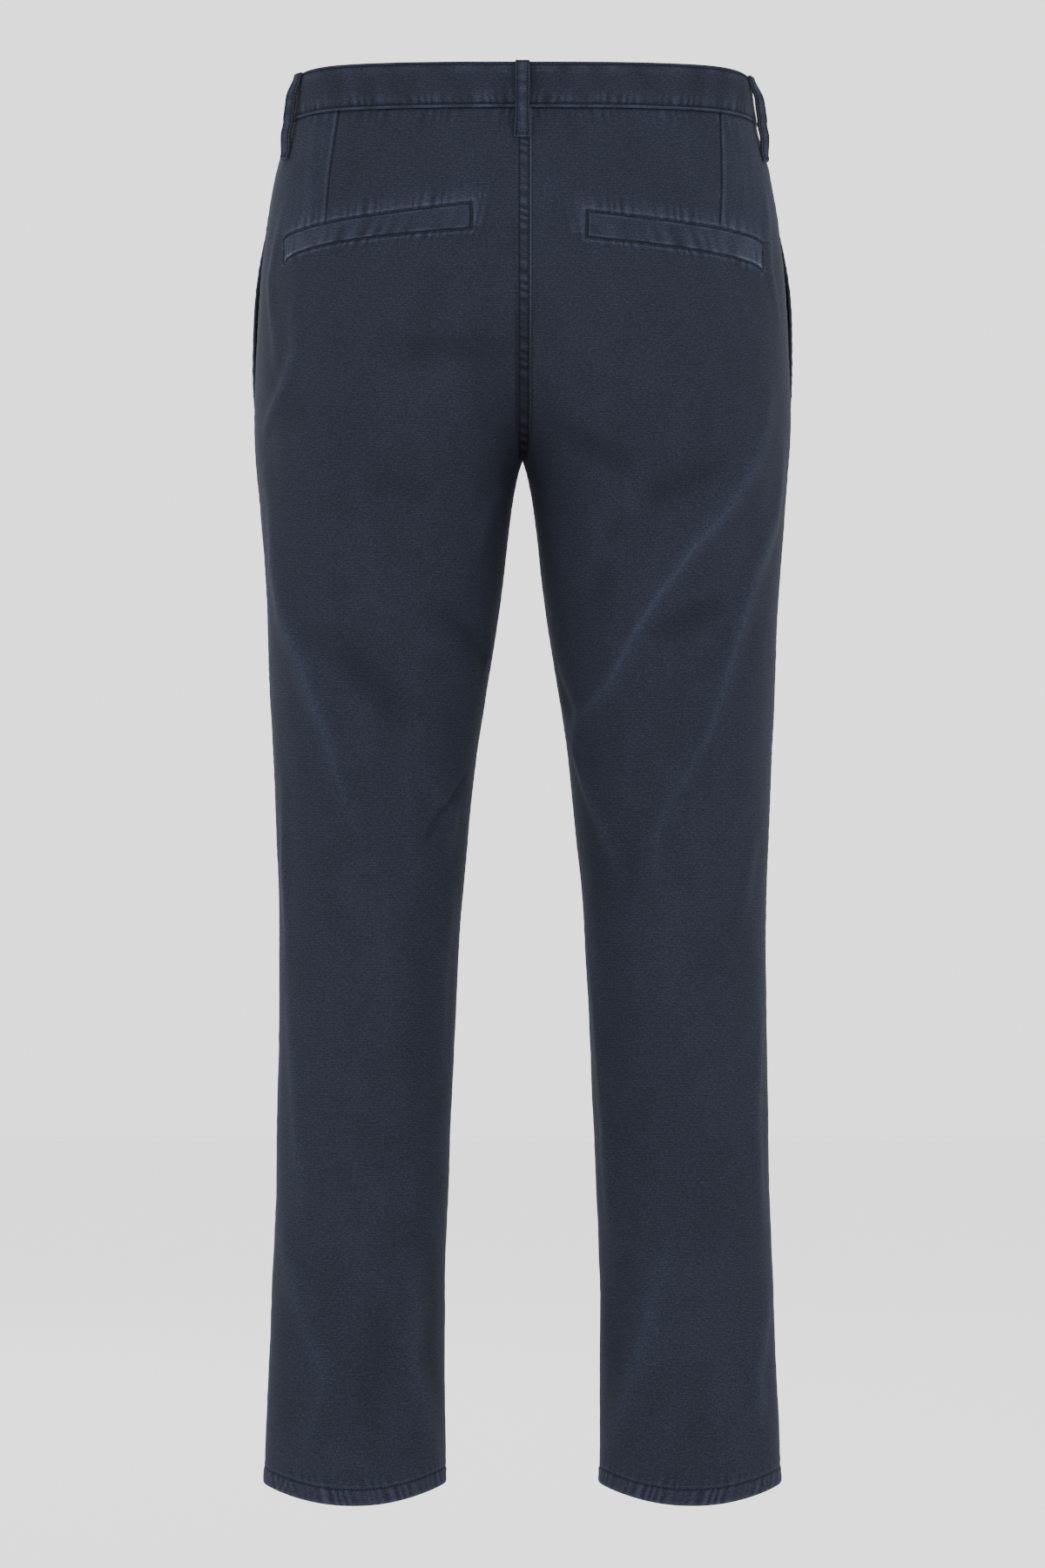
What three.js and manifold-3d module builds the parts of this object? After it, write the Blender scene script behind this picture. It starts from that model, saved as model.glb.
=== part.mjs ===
// Chino trousers, filled out as if worn, with no wearer inside. Millimetres, +Z up.
// The back faces -Y, the fly faces +Y, and the wearer's left leg is at -X.
// The origin is the middle of the waist opening, at half the height of the waistband.
import * as THREE from 'three';
import { mergeVertices } from 'three/addons/utils/BufferGeometryUtils.js';
import Module from 'manifold-3d';

const LEFT = -1;
const RIGHT = 1;
const BACK = 1;
const FRONT = -1;
const DEGREE = Math.PI / 180;

// Driving dimensions.
const CLOTH = 1.2; // one layer of twill with its seam allowance pressed flat
const GAP = 0.3; // space between neighbouring pieces at every seam
const BAND_TOP = 19;
const BAND_FOOT = -15.5;
const BAND_PROUD = 0.8; // the band stands out from the panels by this much
const BAND_WALL = 2.2;
const CROTCH = -272;
const HEM = -1045;
const HEM_DEPTH = 12;
const HEM_WALL = 2.6; // the turned-up hem is two layers
const HEM_DROP_BACK = 12.5; // the hem hangs lower at the heel and higher at the instep
const HEM_RISE_FRONT = 9;
const HEM_SLOPE_START = -900;
const HEM_BEND = 2.4; // how late the hem's drop comes on the way from the side to the middle
const WAIST_DROP_FRONT = 16; // the waist dips at the fly
const WAIST_DROP_SIDE = 5; // and a little at the sides
const WAIST_SLOPE_START = -170;

// The body of each half: a superellipse at each height, cut off at the middle plane above the crotch.
// outer and inner are distances from the middle plane, and a negative inner reaches past it.
// mid is the section's centre from back to front, back and front are its depths from there,
// square is the superellipse's power, and seam is how far behind the widest point the side seam runs.
const table = (names, rows) => rows.map((row) => Object.fromEntries(names.map((name, i) => [name, row[i]])));
const SECTIONS = table(
  ['z', 'outer', 'innerBack', 'innerFront', 'mid', 'back', 'front', 'square', 'seam'],
  [
    [18, 172.5, -172.5, -172.5, 0, 105, 98, 2.8, 6],
    [-17, 177, -177, -177, 0, 111, 103, 2.6, 8],
    [-55, 187, -178, -187, 0, 120, 109, 2.4, 10],
    [-107, 195, -150, -173, 0, 131, 114, 2.3, 13],
    [-150, 199, -106, -125, 0, 138, 117, 2.25, 14],
    [-190, 201, -66, -80, 0, 140, 118, 2.2, 13],
    [-220, 202.4, -38, -46, 0, 138, 117.2, 2.15, 11],
    [-245, 203, -16.5, -20, 0, 133, 115.6, 2.13, 8],
    [-262, 202.6, -4.6, -6, 0, 128, 114, 2.1, 6],
    [-272, 202, 0.3, 0.3, 0, 125, 112.9, 2.1, 5],
    [-282, 201.2, 3.6, 3.6, 0, 121, 111.7, 2.1, 4],
    [-320, 198, 9.8, 9.8, 0, 110, 106.5, 2.1, 0],
    [-385, 193.4, 17.5, 17.5, 1, 100, 98, 2.1, 0],
    [-451, 191, 28, 28, 3, 91, 91, 2.1, 0],
    [-517, 188.3, 37, 37, 5, 83, 83, 2.1, 0],
    [-636, 184.6, 47.9, 47.9, 6, 72, 72, 2.1, 0],
    [-781, 185.9, 54.4, 54.4, 2, 66, 63, 2.1, 0],
    [-913, 190.2, 59.1, 59.1, -4, 60, 57, 2.1, 0],
    [-1045, 195.4, 58.4, 58.4, -8, 53, 51, 2.1, 0],
  ],
);

// The largest folds. A path's points are [degrees round the leg, height]: 0 at the outer side,
// 90 at the back, 180 at the inseam, and negative round the front. A negative height is a trough.
const FOLDS = [
  { side: LEFT, height: 3.2, width: 15, path: [[20, -275], [28, -380], [45, -432], [67, -510], [88, -562]] },
  { side: LEFT, height: -3.6, width: 20, path: [[60, -395], [98, -452], [142, -495]] },
  { side: LEFT, height: -3.4, width: 18, path: [[100, -405], [168, -434]] },
  { side: LEFT, height: -2.4, width: 17, path: [[70, -188], [118, -199]] },
  { side: LEFT, height: 2.0, width: 14, path: [[130, -800], [133, -1040]] },
  { side: LEFT, height: 2.0, width: 14, path: [[30, -820], [54, -947], [70, -1000]] },
  { side: LEFT, height: 2.2, width: 13, path: [[130, -560], [166, -500]] },
  { side: LEFT, height: 2.4, width: 17, path: [[-60, -470], [-110, -540], [-158, -575]] },
  { side: LEFT, height: 2.0, width: 16, path: [[-70, -200], [-120, -228], [-160, -262]] },
  { side: LEFT, height: 1.8, width: 18, path: [[-55, -850], [-72, -1020]] },
  { side: RIGHT, height: 3.4, width: 15, path: [[20, -205], [41, -263], [61, -315], [100, -400], [155, -484]] },
  { side: RIGHT, height: 3.2, width: 15, path: [[20, -305], [44, -400], [60, -452], [83, -530]] },
  { side: RIGHT, height: -3.2, width: 18, path: [[104, -308], [54, -282]] },
  { side: RIGHT, height: -3.0, width: 17, path: [[90, -404], [50, -372]] },
  { side: RIGHT, height: -2.6, width: 17, path: [[132, -233], [98, -286]] },
  { side: RIGHT, height: 2.2, width: 14, path: [[156, -482], [118, -600]] },
  { side: RIGHT, height: 1.8, width: 20, path: [[108, -550], [36, -608]] },
  { side: RIGHT, height: 2.0, width: 14, path: [[106, -885], [160, -1030]] },
  { side: RIGHT, height: 2.4, width: 17, path: [[-48, -490], [-100, -548], [-150, -566]] },
  { side: RIGHT, height: 2.2, width: 16, path: [[-62, -192], [-112, -230], [-158, -264]] },
  { side: RIGHT, height: 1.8, width: 18, path: [[-62, -880], [-84, -1010]] },
];

// Front pocket: the mouth slants from the side seam up to the waistband.
const POCKET_FOOT = -236;
const POCKET_SLANT = 52; // from the side seam to the mouth, along the waist seam
const POCKET_GAPE = 4.5; // how far the mouth stands out from the hip
const POCKET_GAPE_REACH = 34;
const FACING_UNDER = 2; // columns of the front panel that the facing runs on under

// Back pocket welts, as seen from behind. inner and outer are distances from the middle plane, and
// top and foot are the heights of both edges at the inner end, part of the way out and at the outer end.
const WELTS = {
  left: { side: LEFT, inner: 38.7, outer: 178, top: [-88.5, -99.7, -110], foot: [-106.5, -114.7, -127] },
  right: { side: RIGHT, inner: 48.4, outer: 178.5, top: [-94.6, -104.2, -113.3], foot: [-112.8, -122.4, -133.2] },
};

// Belt loops. around is in degrees: 90 is the middle of the back, and negative is the front.
// bow is how far a loop stands off between its ends, to take a belt.
const LOOP_WIDTH = 12;
const LOOP_WALL = 1.8;
const LOOPS = [
  { name: 'belt_loop_centre_back', side: LEFT, around: 90, top: 20, foot: -38.5, bow: 5 },
  { name: 'belt_loop_side_left', side: LEFT, around: 18, top: 19.5, foot: -46, bow: 6 },
  { name: 'belt_loop_side_right', side: RIGHT, around: 12, top: 19.5, foot: -46, bow: 7.5 },
  { name: 'belt_loop_front_left', side: LEFT, around: -58, top: 19.5, foot: -42, bow: 5 },
  { name: 'belt_loop_front_right', side: RIGHT, around: -58, top: 19.5, foot: -42, bow: 5 },
];

// Fly: the left band and the placket lap over the right side.
const LAP_EDGE = 5; // the lapped edge runs this far past the middle
const UNDERLAP = 36;
const LAP_RAMP = 20;
const LAP_CLEAR = 12; // the lap is at full height this far before the underlap ends
const LAP_LIFT = BAND_WALL + GAP;
const PLACKET_WIDTH = 36;
const PLACKET_FOOT = -182;
const PLACKET_CURVE = 44; // height of the curved end
const BUTTON_RADIUS = 8.5;
const BUTTON_FROM_MIDDLE = 11;

const TWILL = { color: 0x2f333e, roughness: 0.92, metalness: 0 };
const HORN = { color: 0x23262e, roughness: 0.45, metalness: 0 };

const clamp = THREE.MathUtils.clamp;
const smooth = (value, from, to) => THREE.MathUtils.smoothstep(value, Math.min(from, to), Math.max(from, to));

// A monotone cubic through one column of the section table, so that no width overshoots between rows.
const columnCache = new Map();
function column(name, z) {
  if (!columnCache.has(name)) {
    const heights = SECTIONS.map((row) => row.z);
    const values = SECTIONS.map((row) => row[name]);
    const chords = values.slice(1).map((value, i) => (value - values[i]) / (heights[i + 1] - heights[i]));
    const slopes = values.map((_, i) => {
      if (i === 0) return chords[0];
      if (i === values.length - 1) return chords[i - 1];
      const product = chords[i - 1] * chords[i];
      return product <= 0 ? 0 : (2 * product) / (chords[i - 1] + chords[i]);
    });
    columnCache.set(name, { heights, values, slopes });
  }
  const { heights, values, slopes } = columnCache.get(name);
  const height = clamp(z, heights[heights.length - 1], heights[0]);
  let i = 0;
  while (i < heights.length - 2 && height < heights[i + 1]) i += 1;
  const span = heights[i + 1] - heights[i];
  const t = (height - heights[i]) / span;
  const start = (1 + 2 * t) * (1 - t) ** 2 * values[i] + t * (1 - t) ** 2 * span * slopes[i];
  const end = t * t * (3 - 2 * t) * values[i + 1] + t * t * (t - 1) * span * slopes[i + 1];
  return start + end;
}

function sectionAt(face, z) {
  const outer = column('outer', z);
  const inner = column(face === BACK ? 'innerBack' : 'innerFront', z);
  const depth = column(face === BACK ? 'back' : 'front', z);
  const power = 2 / column('square', z);
  return { centre: (outer + inner) / 2, half: (outer - inner) / 2, depth, mid: column('mid', z), power };
}

const faceOf = (angle) => (angle >= 0 ? BACK : FRONT);

// How far a level line is lifted, where reach is 1 at the middle of the back and -1 at the front.
function tilt(z, reach) {
  const atHem = smooth(-z, -HEM_SLOPE_START, -HEM);
  const atWaist = smooth(z, WAIST_SLOPE_START, BAND_TOP);
  const atSide = 1 - smooth(Math.abs(reach), 0.1, 0.8);
  const hemLift = (reach >= 0 ? -HEM_DROP_BACK : HEM_RISE_FRONT) * Math.abs(reach) ** HEM_BEND;
  const waistLift = WAIST_DROP_FRONT * Math.min(reach, 0) - WAIST_DROP_SIDE * atSide;
  return hemLift * atHem + waistLift * atWaist;
}

// A point of the smooth body, before folds. side is LEFT or RIGHT and angle is in radians.
function bodyPoint(side, angle, z) {
  const face = faceOf(angle);
  const { centre, half, depth, mid, power } = sectionAt(face, z);
  const cosine = Math.cos(angle);
  const across = centre + half * Math.sign(cosine) * Math.abs(cosine) ** power;
  const reach = Math.abs(Math.sin(angle)) ** power;
  return new THREE.Vector3(side * across, mid - face * depth * reach, z + tilt(z, face * reach));
}

function bodyNormal(side, angle, z) {
  const step = 0.02;
  const rise = 1;
  const at = Math.abs(angle) < step ? step * faceOf(angle) : angle;
  const around = bodyPoint(side, at + step * 0.9, z).sub(bodyPoint(side, at - step * 0.9, z));
  const up = bodyPoint(side, at, z + rise).sub(bodyPoint(side, at, z - rise));
  return around.cross(up).normalize().multiplyScalar(-side);
}

// Height of all folds at a place: round ridges and troughs that fade out at both ends.
function foldHeight(side, angle, z) {
  const { half, depth } = sectionAt(faceOf(angle), z);
  const perDegree = ((half + depth) / 2) * DEGREE;
  const degrees = angle / DEGREE;
  let total = 0;
  for (const fold of FOLDS) {
    if (fold.side !== side) continue;
    const lengths = fold.path.slice(1).map((end, i) => segmentLength(fold.path[i], end, perDegree));
    const whole = lengths.reduce((sum, length) => sum + length, 0);
    let nearest = Infinity;
    let progress = 0;
    let passed = 0;
    lengths.forEach((length, i) => {
      const [fromDegrees, fromZ] = fold.path[i];
      const [toDegrees, toZ] = fold.path[i + 1];
      const across = (toDegrees - fromDegrees) * perDegree;
      const down = toZ - fromZ;
      const t = clamp((((degrees - fromDegrees) * perDegree) * across + (z - fromZ) * down) / length ** 2, 0, 1);
      const offAcross = (degrees - fromDegrees) * perDegree - t * across;
      const distance = Math.hypot(offAcross, z - fromZ - t * down);
      if (distance < nearest) {
        nearest = distance;
        progress = (passed + t * length) / whole;
      }
      passed += length;
    });
    total += fold.height * Math.sin(Math.PI * progress) ** 0.6 * Math.exp(-((nearest / fold.width) ** 2));
  }
  return total;
}

function segmentLength([fromDegrees, fromZ], [toDegrees, toZ], perDegree) {
  return Math.hypot((toDegrees - fromDegrees) * perDegree, toZ - fromZ);
}

// A point on the cloth, moved out by lift from its outer face.
function skin(side, angle, z, lift = 0) {
  const normal = bodyNormal(side, angle, z);
  return bodyPoint(side, angle, z).addScaledVector(normal, foldHeight(side, angle, z) + lift);
}

// The angle of a seam that runs this far behind the widest point.
function angleBehind(distance, z) {
  const { depth, power } = sectionAt(faceOf(distance), z);
  return Math.sign(distance) * Math.asin(clamp(Math.abs(distance) / depth, 0, 1) ** (1 / power));
}

const sideSeam = (z) => angleBehind(column('seam', z), z);

// The angle of the inner edge: the inseam below the crotch, and the middle plane above it.
function innerEdge(face, z) {
  const { centre, half, depth, power } = sectionAt(face, z);
  const inseam = Math.PI - (GAP / 2 / depth) ** (1 / power);
  const share = (centre - GAP / 2) / half;
  if (share >= 1) return face * inseam;
  const cosine = -Math.sign(share) * Math.abs(share) ** (1 / power);
  return face * Math.min(Math.acos(cosine), inseam);
}

// The angle at a distance from the middle, on either side.
function angleAcross(face, distance, z) {
  const { centre, half, power } = sectionAt(face, z);
  const share = clamp((distance - centre) / half, -1, 1);
  return face * Math.acos(Math.sign(share) * Math.abs(share) ** (1 / power));
}

// A closed wall through a grid of outer points and the matching inner points.
function wall(rows, columns, outerAt, innerAt) {
  const points = [];
  for (const pointAt of [outerAt, innerAt]) {
    for (let i = 0; i < rows; i += 1) {
      for (let j = 0; j < columns; j += 1) points.push(pointAt(i, j));
    }
  }
  const outer = (i, j) => i * columns + j;
  const inner = (i, j) => rows * columns + i * columns + j;
  const index = [];
  const quad = (a, b, c, d) => index.push(a, b, c, a, c, d);
  for (let i = 0; i < rows - 1; i += 1) {
    for (let j = 0; j < columns - 1; j += 1) {
      quad(outer(i, j), outer(i, j + 1), outer(i + 1, j + 1), outer(i + 1, j));
      quad(inner(i, j), inner(i + 1, j), inner(i + 1, j + 1), inner(i, j + 1));
    }
    quad(outer(i, 0), outer(i + 1, 0), inner(i + 1, 0), inner(i, 0));
    quad(outer(i, columns - 1), inner(i, columns - 1), inner(i + 1, columns - 1), outer(i + 1, columns - 1));
  }
  for (let j = 0; j < columns - 1; j += 1) {
    quad(outer(0, j), inner(0, j), inner(0, j + 1), outer(0, j + 1));
    quad(outer(rows - 1, j), outer(rows - 1, j + 1), inner(rows - 1, j + 1), inner(rows - 1, j));
  }
  if (signedVolume(points, index) < 0) index.reverse();
  const geometry = new THREE.BufferGeometry();
  geometry.setAttribute('position', new THREE.Float32BufferAttribute(points.flatMap((p) => p.toArray()), 3));
  geometry.setIndex(index);
  geometry.computeVertexNormals();
  return geometry;
}

function signedVolume(points, index) {
  let volume = 0;
  const crossed = new THREE.Vector3();
  for (let i = 0; i < index.length; i += 3) {
    const [a, b, c] = [points[index[i]], points[index[i + 1]], points[index[i + 2]]];
    volume += crossed.crossVectors(b, c).dot(a) / 6;
  }
  return volume;
}

const trousers = new THREE.Group();

function add(name, geometry, finish = TWILL) {
  const mesh = new THREE.Mesh(geometry, new THREE.MeshStandardMaterial(finish));
  mesh.name = name;
  trousers.add(mesh);
  return mesh;
}

const spread = (from, to, count) => Array.from({ length: count }, (_, i) => from + ((to - from) * i) / (count - 1));

// Levels of the panels from hem to waist, closer together at the hem, the crotch and the seat.
const SEAT_LEVELS = spread(POCKET_FOOT, BAND_FOOT - GAP / 2, 11);
const PANEL_LEVELS = [
  HEM,
  HEM + HEM_DEPTH,
  ...spread(HEM + HEM_DEPTH + 1, -650, 9),
  ...spread(-625, -300, 14),
  ...[-15, -7, -3, 0, 2, 5, 10, 18, 29].map((above) => CROTCH + above),
  ...SEAT_LEVELS,
];
const BACK_COLUMNS = 15;
const FRONT_COLUMNS = 13;

const wallBelow = (z) => (z <= HEM + HEM_DEPTH ? HEM_WALL : CLOTH);

// Extra lift of the front panel near the pocket mouth, which stands a little open.
function gape(angle, z) {
  if (z <= POCKET_FOOT) return 0;
  const { half, depth } = sectionAt(FRONT, z);
  const fromMouth = ((mouth(z) - angle) * (half + depth)) / 2;
  const up = (z - POCKET_FOOT) / (BAND_FOOT - POCKET_FOOT);
  const along = Math.sin(Math.PI * clamp(up, 0, 1) ** 0.85);
  return POCKET_GAPE * along * Math.exp(-((fromMouth / POCKET_GAPE_REACH) ** 2));
}

// The pocket mouth's angle: at the side seam at its foot, and well forward of it at the waistband.
function mouth(z) {
  const up = clamp((z - POCKET_FOOT) / (BAND_FOOT - POCKET_FOOT), 0, 1);
  const behind = column('seam', z) - up * POCKET_SLANT;
  return angleBehind(behind, z);
}

// Half the seam gap as an angle, at the outer side of the leg.
const seamHalfGap = (z) => GAP / 2 / sectionAt(BACK, z).depth;

// Columns of the back panel run from the side seam to the inner edge.
function backAngle(z, column) {
  return THREE.MathUtils.lerp(sideSeam(z) + seamHalfGap(z), innerEdge(BACK, z), column / (BACK_COLUMNS - 1));
}

// Columns of the front panel run from the pocket mouth, or the side seam below it, to the inner edge.
function frontAngle(z, column) {
  const start = Math.min(mouth(z), sideSeam(z) - seamHalfGap(z));
  return THREE.MathUtils.lerp(start, innerEdge(FRONT, z), column / (FRONT_COLUMNS - 1));
}

// Columns of the cloth that shows between the side seam and the pocket mouth.
function yokeAngles(z) {
  return [1 / 3, 2 / 3].map((t) => THREE.MathUtils.lerp(backAngle(z, 0), frontAngle(z, 0), t));
}

const backAngles = (z) => Array.from({ length: BACK_COLUMNS }, (_, column) => backAngle(z, column));
const frontAngles = (z) => Array.from({ length: FRONT_COLUMNS }, (_, column) => frontAngle(z, column));

// A piece of the shell: anglesAt gives the columns of each level, and liftAt how far it stands out.
function shell(side, levels, anglesAt, liftAt, thicknessAt) {
  const angles = levels.map(anglesAt);
  const place = (i, j, inward) => {
    const lift = liftAt(angles[i][j], levels[i]) - inward * thicknessAt(levels[i]);
    return skin(side, angles[i][j], levels[i], lift);
  };
  return wall(levels.length, angles[0].length, (i, j) => place(i, j, 0), (i, j) => place(i, j, 1));
}

// Each panel ends just short of the middle plane, where it meets its neighbour.
function stopAtMiddle(side, geometry) {
  const { position } = geometry.attributes;
  for (let i = 0; i < position.count; i += 1) {
    position.setX(i, side * Math.max(side * position.getX(i), GAP / 2));
  }
  return geometry;
}

const backPanel = (side) => stopAtMiddle(side, shell(side, PANEL_LEVELS, backAngles, () => 0, wallBelow));

const frontPanel = (side) => stopAtMiddle(side, shell(side, PANEL_LEVELS, frontAngles, gape, wallBelow));

// The cloth that shows through the pocket mouth, under the edges of both panels.
function pocketFacing(side) {
  const anglesAt = (z) => [
    backAngle(z, 1),
    backAngle(z, 0),
    ...yokeAngles(z),
    ...frontAngles(z).slice(0, FACING_UNDER + 1),
  ];
  return shell(side, SEAT_LEVELS, anglesAt, () => -CLOTH - GAP, () => CLOTH);
}

// The left half laps over the right at the fly, and the right half runs on underneath.
function waistband(side) {
  const anglesAt = (z) => {
    const front = frontAngles(z);
    const beyond = side === LEFT ? [LAP_EDGE] : [1 / 3, 2 / 3, 1].map((share) => share * UNDERLAP);
    return [
      ...backAngles(z).reverse(),
      ...yokeAngles(z),
      ...front,
      ...beyond.map((distance) => angleAcross(FRONT, -distance, z)),
    ];
  };
  const lift = (angle, z) => {
    if (side === RIGHT || angle > 0) return BAND_PROUD;
    const across = bodyPoint(side, angle, z).x;
    return BAND_PROUD + LAP_LIFT * smooth(across, -UNDERLAP - LAP_CLEAR - LAP_RAMP, -UNDERLAP - LAP_CLEAR);
  };
  return shell(side, spread(BAND_FOOT + GAP / 2, BAND_TOP, 4), anglesAt, lift, () => BAND_WALL);
}

// A quadratic through a welt edge's heights at its inner end, middle and outer end.
function weltEdge([start, middle, end], t) {
  return start * (1 - t) * (1 - 2 * t) + middle * 4 * t * (1 - t) + end * t * (2 * t - 1);
}

function backWelt({ side, inner, outer, top, foot }) {
  const count = 17;
  const rows = 3;
  const placeAt = (i, j) => {
    const t = j / (count - 1);
    const distance = inner + (outer - inner) * Math.sin((t * Math.PI) / 2);
    const z = THREE.MathUtils.lerp(weltEdge(foot, t), weltEdge(top, t), i / (rows - 1));
    return [angleAcross(BACK, distance, z), z];
  };
  return wall(
    rows,
    count,
    (i, j) => skin(side, ...placeAt(i, j), GAP + CLOTH),
    (i, j) => skin(side, ...placeAt(i, j), GAP),
  );
}

// A loop is a flat strap, fixed at both ends and bowed out between them to take a belt.
function beltLoop({ side, around, top, foot, bow }) {
  const shares = [0, 0.05, 0.11, 0.18, 0.3, 0.5, 0.7, 0.82, 0.89, 0.95, 1];
  const placeAt = (i, j, thickness) => {
    const z = THREE.MathUtils.lerp(top, foot, shares[i]);
    const angle = around === 90 ? innerEdge(BACK, z) : around * DEGREE;
    const normal = bodyNormal(side, angle, z);
    const across = new THREE.Vector3(-normal.y, normal.x, 0).normalize();
    const proud = BAND_PROUD * smooth(z, BAND_FOOT - 4, BAND_FOOT + 1);
    const standing = bow * smooth(shares[i], 0, 0.18) * (1 - smooth(shares[i], 0.82, 1));
    const base = skin(side, angle, z, proud + GAP + standing + thickness);
    if (around === 90) base.x = 0;
    return base.addScaledVector(across, (j - 0.5) * LOOP_WIDTH);
  };
  return wall(shares.length, 2, (i, j) => placeAt(i, j, LOOP_WALL), (i, j) => placeAt(i, j, 0));
}

// The lapped strip of the fly, with its curved end at the foot.
function flyPlacket() {
  const levels = [...spread(BAND_FOOT - GAP / 2, PLACKET_FOOT + PLACKET_CURVE, 6),
    ...[0.3, 0.55, 0.75, 0.9, 0.98, 1].map((t) => PLACKET_FOOT + PLACKET_CURVE * (1 - t))];
  const count = 6;
  const placeAt = (i, j, lift) => {
    const z = levels[i];
    const down = clamp((PLACKET_FOOT + PLACKET_CURVE - z) / PLACKET_CURVE, 0, 1);
    const width = PLACKET_WIDTH * Math.sqrt(Math.max(1 - down * down, 0)) + 1;
    const x = -width + ((width + LAP_EDGE) * j) / (count - 1);
    const side = x < 0 ? LEFT : RIGHT;
    return skin(side, angleAcross(FRONT, Math.abs(x), z), z, lift);
  };
  return wall(levels.length, count, (i, j) => placeAt(i, j, GAP + CLOTH), (i, j) => placeAt(i, j, GAP));
}

// A four-hole sew-through button with a raised rim.
async function buttonGeometry() {
  const wasm = await Module();
  wasm.setup();
  const solid = (geometry) => {
    geometry.deleteAttribute('normal');
    geometry.deleteAttribute('uv');
    const merged = mergeVertices(geometry, 1e-4);
    return new wasm.Manifold(new wasm.Mesh({
      numProp: 3,
      vertProperties: new Float32Array(merged.attributes.position.array),
      triVerts: new Uint32Array(merged.index.array),
    }));
  };
  const r = BUTTON_RADIUS;
  const profile = [[0, 0], [r - 1.4, 0], [r, 1.1], [r, 2.2], [r - 0.6, 3], [r - 1.7, 3], [r - 2.6, 2], [0, 2]];
  const points = profile.map(([x, y]) => new THREE.Vector2(x, y));
  let button = solid(new THREE.LatheGeometry(points, 24));
  const HOLE_RADIUS = 1;
  const HOLE_PITCH = 1.7;
  for (const x of [-HOLE_PITCH, HOLE_PITCH]) {
    for (const z of [-HOLE_PITCH, HOLE_PITCH]) {
      const hole = new THREE.CylinderGeometry(HOLE_RADIUS, HOLE_RADIUS, 8, 10).translate(x, 0, z);
      button = button.subtract(solid(hole));
    }
  }
  const cut = button.getMesh();
  const geometry = new THREE.BufferGeometry();
  geometry.setAttribute('position', new THREE.BufferAttribute(new Float32Array(cut.vertProperties), 3));
  geometry.setIndex(new THREE.BufferAttribute(new Uint32Array(cut.triVerts), 1));
  geometry.computeVertexNormals();
  return geometry;
}

for (const [word, side] of [['left', LEFT], ['right', RIGHT]]) {
  add(`back_panel_${word}`, backPanel(side));
  add(`front_panel_${word}`, frontPanel(side));
  add(`pocket_facing_${word}`, pocketFacing(side));
  add(`waistband_${word}`, waistband(side));
  add(`back_welt_${word}`, backWelt(WELTS[word]));
}
for (const loop of LOOPS) add(loop.name, beltLoop(loop));
add('fly_placket', flyPlacket());

const button = add('waist_button', await buttonGeometry(), HORN);
const buttonAngle = angleAcross(FRONT, BUTTON_FROM_MIDDLE, 0);
const buttonNormal = bodyNormal(LEFT, buttonAngle, 0);
button.position.copy(skin(LEFT, buttonAngle, 0, BAND_PROUD + LAP_LIFT + GAP));
button.quaternion.setFromUnitVectors(new THREE.Vector3(0, 1, 0), buttonNormal);

export default trousers;
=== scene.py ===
import math

import bpy
import numpy as np
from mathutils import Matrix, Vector, noise


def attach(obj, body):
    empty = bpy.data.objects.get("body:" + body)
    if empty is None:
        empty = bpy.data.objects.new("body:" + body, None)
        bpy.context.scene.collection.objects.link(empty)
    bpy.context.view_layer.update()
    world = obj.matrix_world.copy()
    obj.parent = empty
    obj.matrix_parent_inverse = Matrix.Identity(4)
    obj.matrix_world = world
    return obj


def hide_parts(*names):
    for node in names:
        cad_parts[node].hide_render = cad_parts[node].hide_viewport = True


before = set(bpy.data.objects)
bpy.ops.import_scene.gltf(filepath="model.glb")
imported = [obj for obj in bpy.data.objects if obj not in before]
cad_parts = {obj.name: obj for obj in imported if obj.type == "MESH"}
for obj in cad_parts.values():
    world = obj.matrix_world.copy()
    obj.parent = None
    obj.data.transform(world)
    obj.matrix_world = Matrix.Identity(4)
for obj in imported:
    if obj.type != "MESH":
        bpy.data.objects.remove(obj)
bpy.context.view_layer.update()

bpy.ops.object.select_all(action="DESELECT")

# The studio: a pale sweep of paper well below the hems, soft light from both sides and from above,
# and a camera straight behind the garment, level with the middle of the legs.
CAMERA_AWAY = 5.0
CAMERA_LEVEL = -0.517
VIEW_HEIGHT = 1.188  # what the camera sees of the garment's middle plane, top to bottom
SENSOR = 36.0
bpy.ops.object.camera_add(location=(0, -CAMERA_AWAY, CAMERA_LEVEL), rotation=(math.pi / 2, 0, 0))
camera = bpy.context.object
camera.data.lens = SENSOR * CAMERA_AWAY / VIEW_HEIGHT
camera.data.clip_end = 50
bpy.context.scene.camera = camera


def srgb(code):
    """The linear colour of an sRGB hex value."""
    channels = [int(code[i : i + 2], 16) / 255 for i in (1, 3, 5)]
    return [c / 12.92 if c <= 0.04045 else ((c + 0.055) / 1.055) ** 2.4 for c in channels] + [1.0]


def add_node(tree, kind, inputs=None, **settings):
    """Adds a shader node. A value in inputs is set on the socket, and another node's output is linked."""
    node = tree.nodes.new(kind)
    for key, value in settings.items():
        setattr(node, key, value)
    for key, value in (inputs or {}).items():
        if isinstance(value, bpy.types.NodeSocket):
            tree.links.new(value, node.inputs[key])
        else:
            node.inputs[key].default_value = value
    return node


def soft_box(name, place, aim, size, power):
    """A square studio light at place, turned towards aim."""
    bpy.ops.object.light_add(type="AREA", location=place)
    light = bpy.context.object
    light.name = name
    light.data.size = size
    light.data.energy = power
    light.rotation_euler = (Vector(aim) - Vector(place)).to_track_quat("-Z", "Y").to_euler()


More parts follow.
